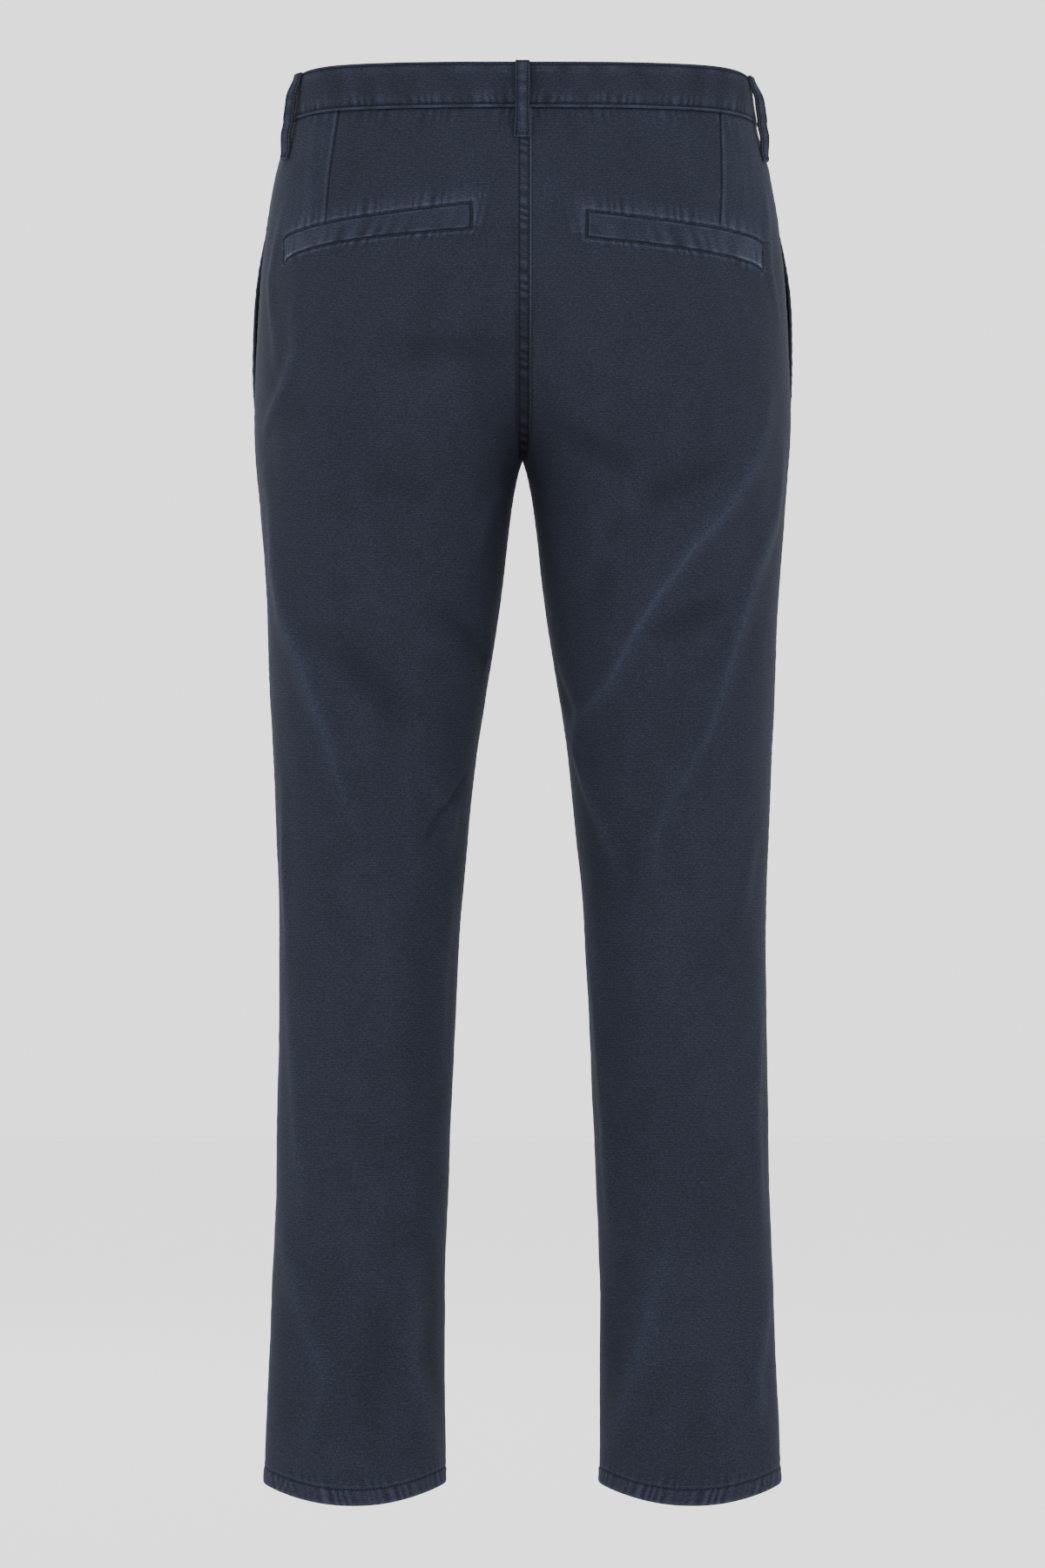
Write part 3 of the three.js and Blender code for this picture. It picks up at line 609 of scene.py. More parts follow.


def cloth_shell(name, outer, inner, cloth_map, wear_and_painted_shading, nodes, grid):
    """Makes a closed sheet from the grids of its two faces, in mm, and puts it in place of nodes.

    Its flat size is that of its outer face. grid is two coordinates on the sheet and its normals, and
    is returned with the face's points so that stitches can be laid on it.
    """
    rows, columns = outer.shape[:2]
    count = rows * columns
    points = np.concatenate([outer.reshape(-1, 3), inner.reshape(-1, 3)]) * MM
    index = np.arange(count).reshape(rows, columns)
    face = np.stack([index[:-1, :-1], index[:-1, 1:], index[1:, 1:], index[1:, :-1]], axis=-1).reshape(-1, 4)
    rim = np.concatenate([index[0, :-1], index[:-1, -1], index[-1, :0:-1], index[:0:-1, 0]])
    following = np.roll(rim, -1)
    edge = np.stack([rim, rim + count, following + count, following], axis=-1)
    faces = np.concatenate([face, face[:, ::-1] + count, edge])
    a, b, c, d = (points[faces[:, i]] for i in range(4))
    volume = (a * np.cross(b, c)).sum() + (a * np.cross(c, d)).sum()
    if volume < 0:
        faces = faces[:, ::-1]
    mesh = bpy.data.meshes.new(name)
    mesh.from_pydata(points.tolist(), [], faces.tolist())
    uv = np.concatenate([cloth_map.reshape(-1, 2)] * 2) * MM
    layer = mesh.uv_layers.new(name="cloth")
    corner = np.zeros(len(mesh.loops), dtype=np.int32)
    mesh.loops.foreach_get("vertex_index", corner)
    layer.data.foreach_set("uv", uv[corner].ravel())
    values = np.concatenate([wear_and_painted_shading.ravel(), np.full(count, INSIDE_TONE)])
    mesh.attributes.new("wear_and_painted_shading", "FLOAT", "POINT").data.foreach_set("value", values)
    mesh.materials.append(twill)
    piece = add_piece(name, mesh)
    select_only(piece)
    bpy.ops.object.shade_smooth_by_angle(angle=math.radians(60))
    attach(piece, "root")
    if nodes:
        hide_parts(*nodes)
    return {"first": grid[0], "second": grid[1], "normal": grid[2], "points": outer}


def panel_levels():
    """Heights of a panel's rows, close together at the hem and round the welts."""
    return np.concatenate(
        [
            HEM + np.array([0, 0.35, 0.9, 1.6]),
            np.arange(HEM + 2.5, HEM + 20, 1.15),
            np.linspace(HEM + 21.5, -640, 62),
            np.linspace(-637, -300, 112),
            np.linspace(-297.4, CROTCH - 2, 10),
            np.linspace(CROTCH - 0.5, CROTCH + 12, 9),
            np.linspace(CROTCH + 14, -136, 42),
            np.linspace(-134.7, -84, 46),
            np.linspace(-81.5, -24, 24),
            BAND_FOOT - np.array([7, 5.6, 4.4, 3.4, 2.6, 1.9, 1.3, 0.8, 0.4, 0, -0.4, -0.9, -2]),
        ]
    )


# The columns of a panel next to its sewn edge, and on both sides of its dart, in mm.
EDGE_STEPS = np.array([0, 0.35, 0.9, 1.7, 2.8, 4.2])
DART_STEPS = np.array([-4.6, -3, -1.9, -1.1, -0.5, 0, 0.5, 1.1, 1.9, 3, 4.6])


def skin(side, angle, z, lift):
    """Points of the cloth's outer face: the body, its folds and its unevenness, and lift beyond."""
    base = body_point(side, angle, z)
    normal = body_normal(side, angle, z)
    height, painted_light_and_wear = folds_at(side, angle, z)
    rise = height + unevenness(base) + lift
    return base + normal * rise[..., None], normal, painted_light_and_wear


def stop_at_middle(side, points):
    """Keeps the points of a half on its own side of the middle plane."""
    points[..., 0] = side * np.maximum(side * points[..., 0], GAP / 2)
    return points


def turn_up(z):
    """The cloth's thickness, with the second layer of the hem."""
    return (CLOTH + HEM_LAYER * smooth(z, HEM + HEM_DEPTH + 1, HEM + HEM_DEPTH - 0.5))[..., None]


def back_panel(side):
    levels = panel_levels()
    start = length_to(seam_angle(levels), levels) - TUCK / 2
    end = length_to(inner_edge(levels, True), levels)
    dart = start + length_to_dart(side, levels)
    rows = []
    for first, line, last in zip(start, dart, end):
        outer_part = np.linspace(first + 6.2, line - 6.8, 26)
        inner_part = np.linspace(line + 6.8, last - 13.5, 74)
        near_middle = last - np.array([11.8, 10.3, 8.9, 7.6, 6.4, 5.2, 4, 2.9, 1.9, 1, 0.4, 0])
        parts = [first + EDGE_STEPS, outer_part, line + DART_STEPS, inner_part, near_middle]
        rows.append(np.concatenate(parts))
    length = np.array(rows)
    angle = angle_after(length, levels)
    z = np.repeat(levels[:, None], length.shape[1], axis=1)
    relief, wear_and_painted_shading = back_relief(side, angle, z, length - start[:, None], end[:, None] - length)
    outer, normal, painted_light_and_wear = skin(side, angle, z, relief)
    inner = outer - normal * turn_up(z)
    return cloth_shell(
        f"back_leg_{WORDS[side]}",
        stop_at_middle(side, outer),
        stop_at_middle(side, inner),
        np.stack([side * length, z], axis=-1),
        wear_and_painted_shading + painted_light_and_wear,
        [f"back_panel_{WORDS[side]}"],
        grid=(length, z, normal),
    )


backs = {side: back_panel(side) for side in (LEFT, RIGHT)}

# Front panels: cut from one piece each, with the slanted pocket mouth at the hip. Their side edges lie
# under the back panels, and the mouth's edge is turned in, sewn down and stands a little open.
POCKET_FOOT = -236
POCKET_SLANT = 52
POCKET_GAPE = 4.5
POCKET_GAPE_REACH = 34
MOUTH_ROW = 6.5  # the stitches' distance from the mouth's edge


def angle_behind(distance, z):
    """The angle of a line that runs this far behind the widest point, or before it if negative."""
    depth = np.where(distance >= 0, profile("back", z), profile("front", z))
    share = np.clip(np.abs(distance) / depth, 0, 1)
    return np.sign(distance) * np.arcsin(share ** (profile("square", z) / 2))


def up_the_mouth(z):
    """The share of the way from the foot of the mouth to the band."""
    return np.clip((z - POCKET_FOOT) / (BAND_FOOT - POCKET_FOOT), 0, 1)


def front_start(levels):
    """The angle where a front ends: the pocket mouth, and the side seam below it."""
    mouth = angle_behind(profile("seam", levels) - up_the_mouth(levels) * POCKET_SLANT, levels)
    return np.minimum(mouth, seam_angle(levels))


def gape(from_mouth, z):
    """How far the cloth stands open near the mouth, most of all a little below its middle."""
    return POCKET_GAPE * np.sin(np.pi * up_the_mouth(z) ** 0.85) * ridge(from_mouth, POCKET_GAPE_REACH)


def front_relief(side, z, from_edge, from_middle):
    """How far the cloth of a front stands out at its mouth and seams, and its wear and painted shade."""
    on_mouth = smooth(z, POCKET_FOOT - 2, POCKET_FOOT + 6)
    lift, wear_and_painted_shading = edge_relief(from_edge, z, side * 1.3)
    lift = lift * on_mouth - 0.5 * (1 - on_mouth) * (1 - smooth(from_edge, 0, 3))
    # Below the mouth, a painted shade line along the side seam.
    wear_and_painted_shading = wear_and_painted_shading * on_mouth - 0.8 * (1 - on_mouth) * ridge(from_edge, 1.5)
    # The mouth's open edge rolls inwards, and puckers along its stitches.
    puckers = 0.25 * ripple(z, 8, side) * ridge(from_edge - 5, 3.5)
    groove = 0.35 * ridge(from_edge - MOUTH_ROW, 1.0)
    lift += on_mouth * (puckers - groove - 1.2 * (1 - smooth(from_edge, 0, 4)))
    more, more_wear_and_painted_shading = hem_relief(from_edge, z - HEM, 5 + side) + edge_relief(from_middle, z, side * 2.9)
    below_band = BAND_FOOT - z
    lift += more - 0.5 * ridge(below_band, 1.5)
    lift += 0.16 * ripple(from_edge, 7, side + 7) * ridge(below_band - 4, 5)
    lift += -0.9 * smooth(-below_band, -0.6, 0.8)
    # The band's foot casts a painted shadow on the cloth below it.
    return lift + gape(from_edge, z), wear_and_painted_shading + more_wear_and_painted_shading - 0.5 * ridge(below_band, 1.3)


def front_panel(side):
    levels = panel_levels()
    start = -length_to(front_start(levels), levels) - TUCK / 2
    end = -length_to(inner_edge(levels, False), levels)
    rows = []
    for first, last in zip(start, end):
        edge = np.append(EDGE_STEPS, (5.6, 6.5, 7.4, 9))
        middle = np.linspace(first + 11.5, last - 10.5, 84)
        near_middle = last - np.array([8.6, 7, 5.6, 4.2, 2.8, 1.7, 0.9, 0.35, 0])
        rows.append(np.concatenate([first + edge, middle, near_middle]))
    length = np.array(rows)
    angle = angle_after(-length, levels)
    z = np.repeat(levels[:, None], length.shape[1], axis=1)
    relief, wear_and_painted_shading = front_relief(side, z, length - start[:, None], end[:, None] - length)
    outer, normal, painted_light_and_wear = skin(side, angle, z, relief)
    inner = stop_at_middle(side, outer - normal * turn_up(z))
    outer = stop_at_middle(side, outer)
    for face in (outer, inner):
        face[levels > CROTCH, -1, 0] = -side * TUCK / 2  # closes the seam below the fly
    return cloth_shell(
        f"front_leg_{WORDS[side]}",
        outer,
        inner,
        np.stack([-side * length, z], axis=-1),
        wear_and_painted_shading + painted_light_and_wear,
        [f"front_panel_{WORDS[side]}"],
        grid=(length, z, normal),
    )


fronts = {side: front_panel(side) for side in (LEFT, RIGHT)}

# Pocket facings: the cloth behind each slanted mouth, between the mouth and the side seam. It is the
# same cotton, caught under the edges of both panels and sewn to the back of the waistband.
FACING_DEPTH = 2.3
FACING_PAST_SEAM = 12
FACING_PAST_MOUTH = 16
FACING_COLUMNS = 26
# The facing lies in the recess behind the mouth, and is darkened as painted shade.
FACING_PAINTED_SHADE = -0.12


def pocket_facing(side):
    behind_band = BAND_FOOT + np.array([1.4, 2.8, 4])
    levels = np.append(np.linspace(POCKET_FOOT - 6, BAND_FOOT - 1, 60), behind_band)
    start = length_to(seam_angle(levels), levels) + FACING_PAST_SEAM
    end = length_to(front_start(levels), levels) - FACING_PAST_MOUTH
    length = start[:, None] + (end - start)[:, None] * np.linspace(0, 1, FACING_COLUMNS)
    z = np.repeat(levels[:, None], FACING_COLUMNS, axis=1)
    lift = -FACING_DEPTH + 0.85 * smooth(z, BAND_FOOT + 1.6, BAND_FOOT + 2.8)
    outer, normal, _ = skin(side, angle_after(length, levels), z, lift)
    return cloth_shell(
        f"pocket_lining_{WORDS[side]}",
        outer,
        outer - normal * CLOTH,
        np.stack([side * length, z], axis=-1),
        np.full(z.shape, FACING_PAINTED_SHADE),
        [f"pocket_facing_{WORDS[side]}"],
        grid=(length, z, normal),
    )


for side in (LEFT, RIGHT):
    pocket_facing(side)

# Waistband: a folded strip of the same cotton in two halves, joined behind under the belt loop. It
# stands out over the panels as a small step, is sewn along both edges, and laps over at the fly.
BAND_PROUD = 0.8
BAND_WALL = 2.2
BAND_COLUMNS = 330
LAP_EDGE = 5  # the lapped end runs this far past the middle
UNDERLAP = 36
LAP_CLEAR = 12  # the lap is at full height this far before the underlap ends
LAP_RAMP = 20
LAP_LIFT = BAND_WALL + 0.3


def band_relief(along, z, seed):
    """The band's rounded edges, its grooves along both rows of stitches, and its pleats and wear."""
    from_foot = z - BAND_FOOT - GAP / 2
    from_top = BAND_TOP - z
    lift = -0.7 * (1 - smooth(from_foot, 0, 1.2)) - 0.8 * (1 - smooth(from_top, 0, 1.3))
    lift += 0.3 * ridge(from_foot - 1.2, 1.0) - 0.35 * ridge(from_foot - 2.6, 0.8)
    lift += -0.3 * ridge(from_top - 2.3, 0.8) + 0.12 * ridge(from_top - 1.0, 0.8)
    pleats = ripple(along + 0.35 * z, 6.6, seed) * ridge(np.maximum(from_foot - 4, 0), 6)
    pleats *= smooth(from_foot, 1, 4)
    painted_light_and_wear = 0.5 + 0.5 * ripple(along + 0.12 * z, 33, seed + 5)
    broad = ripple(along + 0.25 * z, 31, seed + 4)
    lift += 0.36 * pleats
    lift += 0.2 * ripple(along - 0.4 * z, 7.5, seed + 2) * ridge(from_top - 3.5, 3)
    lift += 0.3 * broad * smooth(from_foot, 2, 12) * smooth(from_top, 1, 9)
    # Worn lighter at both edges; painted shade in the grooves and painted shading on the pleats and swells.
    wear_and_painted_shading = (0.35 + 0.55 * painted_light_and_wear) * ridge(from_foot - 0.9, 0.8) - 0.55 * ridge(from_foot - 2.6, 0.7)
    wear_and_painted_shading += (0.1 + 0.35 * painted_light_and_wear) * ridge(from_top - 0.7, 0.8) - 0.4 * ridge(from_top - 2.3, 0.7)
    wear_and_painted_shading += 0.34 * pleats + 0.3 * painted_light_and_wear * ridge(np.maximum(from_foot - 6, 0), 7) * smooth(from_foot, 3, 6)
    wear_and_painted_shading += 0.08 * broad + 0.3 * (1 - painted_light_and_wear) * ridge(from_top - 5, 4) - 0.06
    return lift, wear_and_painted_shading


def waistband(side):
    foot_steps = np.array([0, 0.25, 0.7, 1.3, 1.9, 2.6, 3.3, 4.2, 5.4, 7, 9, 11.5, 14.2, 17])
    foot = BAND_FOOT + GAP / 2 + foot_steps
    top = BAND_TOP - np.array([14.4, 11.8, 9.4, 7.3, 5.6, 4.3, 3.2, 2.3, 1.7, 1.1, 0.6, 0.25, 0])
    levels = np.concatenate([foot, top])
    begin = length_to(inner_edge(levels, True), levels)
    end = length_to(inner_edge(levels, False), levels)
    length = begin[:, None] + (end - begin)[:, None] * np.linspace(0, 1, BAND_COLUMNS)
    angle = angle_after(length, levels)
    beyond = np.linspace(1, LAP_EDGE if side == LEFT else UNDERLAP, 6 if side == LEFT else 16)
    past = np.stack([angle_across(-distance, levels, False) for distance in beyond], axis=1)
    angle = np.concatenate([angle, past], axis=1)
    length = np.concatenate([length, end[:, None] - beyond[None, :]], axis=1)
    z = np.repeat(levels[:, None], angle.shape[1], axis=1)
    across = body_point(side, angle, z)[..., 0]
    lap = smooth(across, -UNDERLAP - LAP_CLEAR - LAP_RAMP, -UNDERLAP - LAP_CLEAR)
    relief, wear_and_painted_shading = band_relief(length, z, 3 + side)
    lap = LAP_LIFT * lap * (angle < 0) * (side == LEFT)
    outer, normal, _ = skin(side, angle, z, BAND_PROUD + lap + relief)
    # The inside stays level as far as the underlap. The wall is thinner at the top fold and the foot.
    thickness = BAND_WALL + lap * (1 - smooth(across, -UNDERLAP - 2, -UNDERLAP - 0.4))
    thickness -= 0.9 * (1 - smooth(BAND_TOP - z, 0, 1.3)) + 0.8 * (1 - smooth(z - BAND_FOOT, 3, 5))
    return cloth_shell(
        f"band_{WORDS[side]}",
        outer,
        outer - normal * thickness[..., None],
        np.stack([side * length, z], axis=-1),
        wear_and_painted_shading,
        [f"waistband_{WORDS[side]}"],
        grid=(length, z, normal),
    )


bands = {side: waistband(side) for side in (LEFT, RIGHT)}

# Seat seam: the two backs are felled, so that the left one's edge lies folded on the right one from
# the waistband to the crotch. The strip puckers between its two rows of stitches.
FELL_LEFT = -5.5
FELL_RIGHT = 7.2
FELL_ROWS = (-2.4, 4.6)


def skin_over_middle(x, z, back, lift, clear=0):
    """The cloth's outer face on both sides of the middle plane, at the distances x from it.

    Nearer than clear, the depth and the normal are those at that distance.
    """
    points = np.zeros(z.shape + (3,))
    normal = np.zeros(z.shape + (3,))
    for side in (LEFT, RIGHT):
        on_side = (x < 0) if side == LEFT else (x >= 0)
        point, out, _ = skin(side, angle_across(np.maximum(np.abs(x), clear), z, back), z, lift)
        points[on_side] = point[on_side]
        normal[on_side] = out[on_side]
    return points, normal


def seat_fell():
    foot = np.linspace(CROTCH + 0.5, CROTCH + 13, 14)
    levels = np.concatenate([foot, np.linspace(CROTCH + 14, BAND_FOOT - 0.6, 190)])
    left_part = [FELL_LEFT, -4.7, -3.9, -3.1, FELL_ROWS[0], -1.7, -0.9, 0]
    across = np.array([*left_part, 1, 2, 3, 4, 4.7, 5.2, 5.6, 6, 6.4, 6.7, 7, FELL_RIGHT])
    z = np.repeat(levels[:, None], len(across), axis=1)
    # Near the crotch the strip is narrower, and bridges the fold between the legs.
    at_crotch = 1 - smooth(z, CROTCH, CROTCH + 26)
    x = across[None, :] * (1 - 0.45 * at_crotch)
    points, normal = skin_over_middle(x, z, True, np.zeros(z.shape), clear=2.6 * at_crotch)
    points[..., 0] = np.where(at_crotch > 0, x, points[..., 0])
    normal[..., 0] *= 1 - at_crotch
    normal = unit(normal)
    pinch = ripple(z + 0.35 * x, 7.2, 4)
    lift = 0.95 * smooth(x, FELL_LEFT, -3.2) - 0.75 * (1 - smooth(FELL_RIGHT - x, 0, 0.9))
    rows = ridge(x - FELL_ROWS[0], 0.7) + ridge(x - FELL_ROWS[1], 0.7)
    between = smooth(x, FELL_ROWS[0], FELL_ROWS[0] + 1.5) * smooth(x, FELL_ROWS[1], FELL_ROWS[1] - 1.5)
    lift += -0.3 * rows + 0.35 * pinch * between + 0.1
    # Painted shade in the stitch grooves, low on the seat and at the crotch; painted shading on the puckers.
    wear_and_painted_shading = -0.55 * rows + 0.45 * pinch * between
    wear_and_painted_shading += 0.65 * ridge(x - FELL_RIGHT + 1.2, 0.55) + 0.05 - 0.5 * smooth(-z, 110, 240) - 0.5 * at_crotch
    outer = points + normal * lift[..., None]
    inner = points + normal * np.minimum(lift - 0.02, 0.12)[..., None]
    length = np.repeat(length_to(inner_edge(levels, True), levels)[:, None], len(across), axis=1) + x
    return cloth_shell(
        "seat_seam",
        outer,
        inner,
        np.stack([-length, z], axis=-1),
        wear_and_painted_shading,
        [],
        grid=(x, z, normal),
    )


fell = seat_fell()

# Back pocket welts: a narrow strip of the same cotton let into each back, level with it, so that only
# the grooves of its outline and the stitches round it show.
WELT_THICKNESS = 0.45
WELT_LENGTH = 150


def welt_place(side, t, up):
    """Angle and height on the welt: t runs from its inner to its outer end, and up from foot to top."""
    welt = WELTS[side]
    z = through_three(welt["foot"], t) * (1 - up) + through_three(welt["top"], t) * up
    across = welt["inner"] + (welt["outer"] - welt["inner"]) * np.sin(t * np.pi / 2)
    return angle_across(across, z, True), z


def back_welt(side):
    half_up = np.array([0.004, 0.022, 0.045, 0.07, 0.1, 0.14, 0.19, 0.26, 0.34, 0.42])
    tips = np.array([0.001, 0.004, 0.009])
    t = np.concatenate([tips, np.linspace(0.015, 0.985, 104), 1 - tips[::-1]])
    t, up = np.meshgrid(t, np.concatenate([half_up, [0.5], 1 - half_up[::-1]]))
    angle, z = welt_place(side, t, up)
    height = WELTS[side]["top"][0] - WELTS[side]["foot"][0]
    from_edge = np.minimum(np.minimum(up, 1 - up) * height, np.minimum(t, 1 - t) * 190)
    buckle = ripple(t * WELT_LENGTH + 6 * up, 11, side) * (1 - up)
    relief = 0.4 - 0.75 * (1 - smooth(from_edge, 0, 1.1)) + 0.22 * buckle
    painted_light_and_wear = 0.5 + 0.5 * ripple(t * WELT_LENGTH - 9 * up, 26, side + 1)
    # Painted shade at the outline, painted highlights on the buckles, outer half and lower edge; worn edges.
    wear_and_painted_shading = 0.5 * painted_light_and_wear * ridge(from_edge - 1.0, 0.9) - 0.7 * ridge(from_edge, 0.35) + 0.1 + 0.3 * buckle
    wear_and_painted_shading += 0.6 * smooth(t, 0.35, 0.9) * (0.3 + 0.7 * painted_light_and_wear) * (1 - 0.5 * up)
    wear_and_painted_shading += 0.5 * smooth(t, 0.5, 0.9) * ridge(up * height - 1.2, 1.1)
    outer, normal, _ = skin(side, angle, z, relief)
    length = np.array([length_to(a, h) for a, h in zip(angle, z)])
    return cloth_shell(
        f"welt_{WORDS[side]}",
        outer,
        outer - normal * WELT_THICKNESS,
        np.stack([side * length, z], axis=-1),
        wear_and_painted_shading,
        [f"back_welt_{WORDS[side]}"],
        grid=(t, up, normal),
    )


for side in (LEFT, RIGHT):
    back_welt(side)

# Belt loops: five straps with both edges folded in and sewn, turned under at each end and held with a
# bar of close stitches. They stand off the band to take a belt.
LOOP_WIDTH = 12
LOOP_WALL = 2.2
LOOP_CLEAR = 0.3
# Degrees round the body from its outer side, heights of both ends, how far the loop stands off in mm,
# and the degrees that it has turned.
LOOPS = {
    "centre_back": {"side": LEFT, "around": 90, "top": 20, "foot": -38.5, "bow": 5, "twist": 0},
    "side_left": {"side": LEFT, "around": 18, "top": 19.5, "foot": -46, "bow": 4.6, "twist": 22},
    "side_right": {"side": RIGHT, "around": 12, "top": 19.5, "foot": -46, "bow": 5, "twist": 28},
    "front_left": {"side": LEFT, "around": -58, "top": 19.5, "foot": -42, "bow": 5, "twist": 0},
    "front_right": {"side": RIGHT, "around": -58, "top": 19.5, "foot": -42, "bow": 5, "twist": 4},
}


def belt_loop(word, side, around, top, foot, bow, twist):
    ends = np.array([0, 0.004, 0.012, 0.022, 0.034, 0.05, 0.07, 0.1, 0.135])
    shares = np.concatenate([ends, np.linspace(0.17, 0.83, 24), 1 - ends[::-1]])
    z = top + (foot - top) * shares
    at_middle = word == "centre_back"
    angle = inner_edge(z, True) if at_middle else np.full(z.shape, math.radians(around))
    normal = body_normal(side, angle, z)
    if at_middle:
        normal[:, 0] = 0
        normal = unit(normal)
    strap = unit(np.stack([-normal[:, 1], normal[:, 0], np.zeros(len(z))], axis=-1))
    # The loops at the hips have turned a little to the back between their sewn ends.
    turn = (math.radians(twist) * np.sin(np.pi * shares) ** 0.7)[:, None]
    turned = normal * np.cos(turn) - side * strap * np.sin(turn)
    strap = strap * np.cos(turn) + side * normal * np.sin(turn)
    proud = BAND_PROUD * smooth(z, BAND_FOOT - 4, BAND_FOOT + 1)
    standing = bow * smooth(shares, 0, 0.3) * (1 - smooth(shares, 0.68, 1))
    base, _, _ = skin(side, angle, z, proud + LOOP_CLEAR + standing)
    if at_middle:
        base[:, 0] = 0
    half = LOOP_WIDTH / 2
    right_half = np.array([1.3, 2.6, 3.6, 4.2, 4.8, 5.3, 5.75, half])
    across = np.concatenate([-right_half[::-1], [0], right_half])
    from_edge = half - np.abs(across)[None, :]
    along = (shares * (top - foot))[:, None]
    wide = 0.89 + 0.16 * smooth(along / (top - foot), 0.6, 0.97) + 0.02 * np.sin(along / 9)
    spread = base[:, None, :] + strap[:, None, :] * (across[None, :] * wide)[..., None]
    from_end = np.minimum(along, (top - foot) - along)
    lift = LOOP_WALL - 0.75 * (1 - smooth(from_edge, 0, 0.9)) - 0.28 * ridge(from_edge - 1.6, 0.6)
    lift = lift + 0.12 * ripple(along, 6, side) * ridge(from_edge - 3.5, 2.4)
    lift = lift - 0.7 * (1 - smooth(from_end, 0, 0.8)) + 0.45 * ridge(from_end - 2, 1.6)
    # Painted shade in the grooves by the stitches, a painted highlight down the middle; edges and ends worn.
    wear_and_painted_shading = 0.3 * ridge(from_edge - 0.7, 0.6) - 0.5 * ridge(from_edge - 1.6, 0.5) + 0.4 * ridge(from_end, 1)
    wear_and_painted_shading = wear_and_painted_shading + 0.2 * ripple(along, 11, side + 5) * ridge(across[None, :], 4)
    wear_and_painted_shading = wear_and_painted_shading + 0.3 * ridge(across[None, :], 2.6)
    outer = spread + turned[:, None, :] * lift[..., None]
    shape = outer.shape[:2]
    return cloth_shell(
        f"loop_{word}",
        outer[::-1],
        spread[::-1],
        np.stack(np.broadcast_arrays(across[None, :] + 300, along), axis=-1)[::-1],
        np.broadcast_to(wear_and_painted_shading, shape)[::-1],
        [f"belt_loop_{word}"],
        grid=(
            np.broadcast_to(across[None, :], shape)[::-1],
            np.broadcast_to(z[:, None], shape)[::-1],
            np.broadcast_to(turned[:, None, :], outer.shape)[::-1],
        ),
    )


loops = {word: belt_loop(word, **loop) for word, loop in LOOPS.items()}

# Fly: a strip of the same cotton on the left front, lapped over the middle, with a curved foot.
PLACKET_WIDTH = 36
PLACKET_FOOT = -182
PLACKET_CURVE = 44
PLACKET_THICKNESS = 0.75


def placket_width(z):
    """The distance from the middle to the curved edge."""
    down = np.clip((PLACKET_FOOT + PLACKET_CURVE - z) / PLACKET_CURVE, 0, 1)
    return PLACKET_WIDTH * np.sqrt(np.maximum(1 - down * down, 0)) + 1


def fly_placket():
    straight = np.linspace(PLACKET_FOOT + PLACKET_CURVE, BAND_FOOT - GAP / 2, 34)
    bend = PLACKET_FOOT + PLACKET_CURVE * (1 - np.sin(np.linspace(np.pi / 2, 0.06, 20)))
    levels = np.concatenate([bend, straight])
    share = np.array([0, 0.012, 0.03, 0.06, 0.1, *np.linspace(0.15, 0.85, 15), 0.9, 0.94, 0.97, 0.988, 1])
    width = placket_width(levels)[:, None]
    x = -width + (width + LAP_EDGE) * share
    z = np.repeat(levels[:, None], len(share), axis=1)
    from_edge = np.minimum(x + width, LAP_EDGE - x)
    relief = 1.4 - 0.6 * (1 - smooth(from_edge, 0, 1.1)) + 0.15 * ripple(z, 9, 2) * ridge(from_edge - 5, 4)
    points, normal = skin_over_middle(x, z, False, relief)
    # The lap's folded edge is worn lighter, and painted shade runs along the curved sewn edge.
    wear_and_painted_shading = 0.6 * ridge(LAP_EDGE - x - 0.8, 0.9) - 0.6 * ridge(x + width, 0.7)
    return cloth_shell(
        "fly_strip",
        points,
        points - normal * PLACKET_THICKNESS,
        np.stack([x + 280, z], axis=-1),
        wear_and_painted_shading,
        ["fly_placket"],
        grid=(x, z, normal),
    )


placket = fly_placket()

# Stitching: lock stitches of tonal cotton thread, sunk a little into the cloth, from eight to the inch
# at the hems to twelve round the welts. The two rows of the waistband, the seat seam, the welts'
# outlines, the hems, the pocket mouths, the fly and the loops are one piece each.
STITCH_PITCH = 3.1
STITCH_LENGTH = 2.2
THREAD_RADIUS = 0.27
# Every stitch is a five-sided capsule. Its rings: share of the length, share of the radius, lift in mm.
CAPSULE_SIDES = 5
CAPSULE = ((0, 0.4, -0.12), (0.2, 1, 0.1), (0.5, 1.1, 0.16), (0.8, 1, 0.1), (1, 0.4, -0.12))

thread = bpy.data.materials.new("cotton_thread")
thread.use_nodes = True
thread_tree = thread.node_tree
thread_shader = thread_tree.nodes["Principled BSDF"]
thread_place = add_node(thread_tree, "ShaderNodeTexCoord").outputs["Object"]
thread_noise = add_node(
    thread_tree, "ShaderNodeTexNoise", {"Vector": thread_place, "Scale": 700.0, "Detail": 2.0}
)
thread_tone = add_node(thread_tree, "ShaderNodeValToRGB", {"Fac": thread_noise.outputs[0]})
thread_tone.color_ramp.elements[0].color = srgb("#07080b")
thread_tone.color_ramp.elements[1].color = srgb("#14171f")
thread_bump = add_node(thread_tree, "ShaderNodeBump", {"Height": thread_noise.outputs[0], "Distance": 0.0001})
thread_tree.links.new(thread_tone.outputs[0], thread_shader.inputs["Base Color"])
thread_tree.links.new(thread_bump.outputs[0], thread_shader.inputs["Normal"])
thread_shader.inputs["Roughness"].default_value = 0.75
thread_shader.inputs["Specular IOR Level"].default_value = 0.12


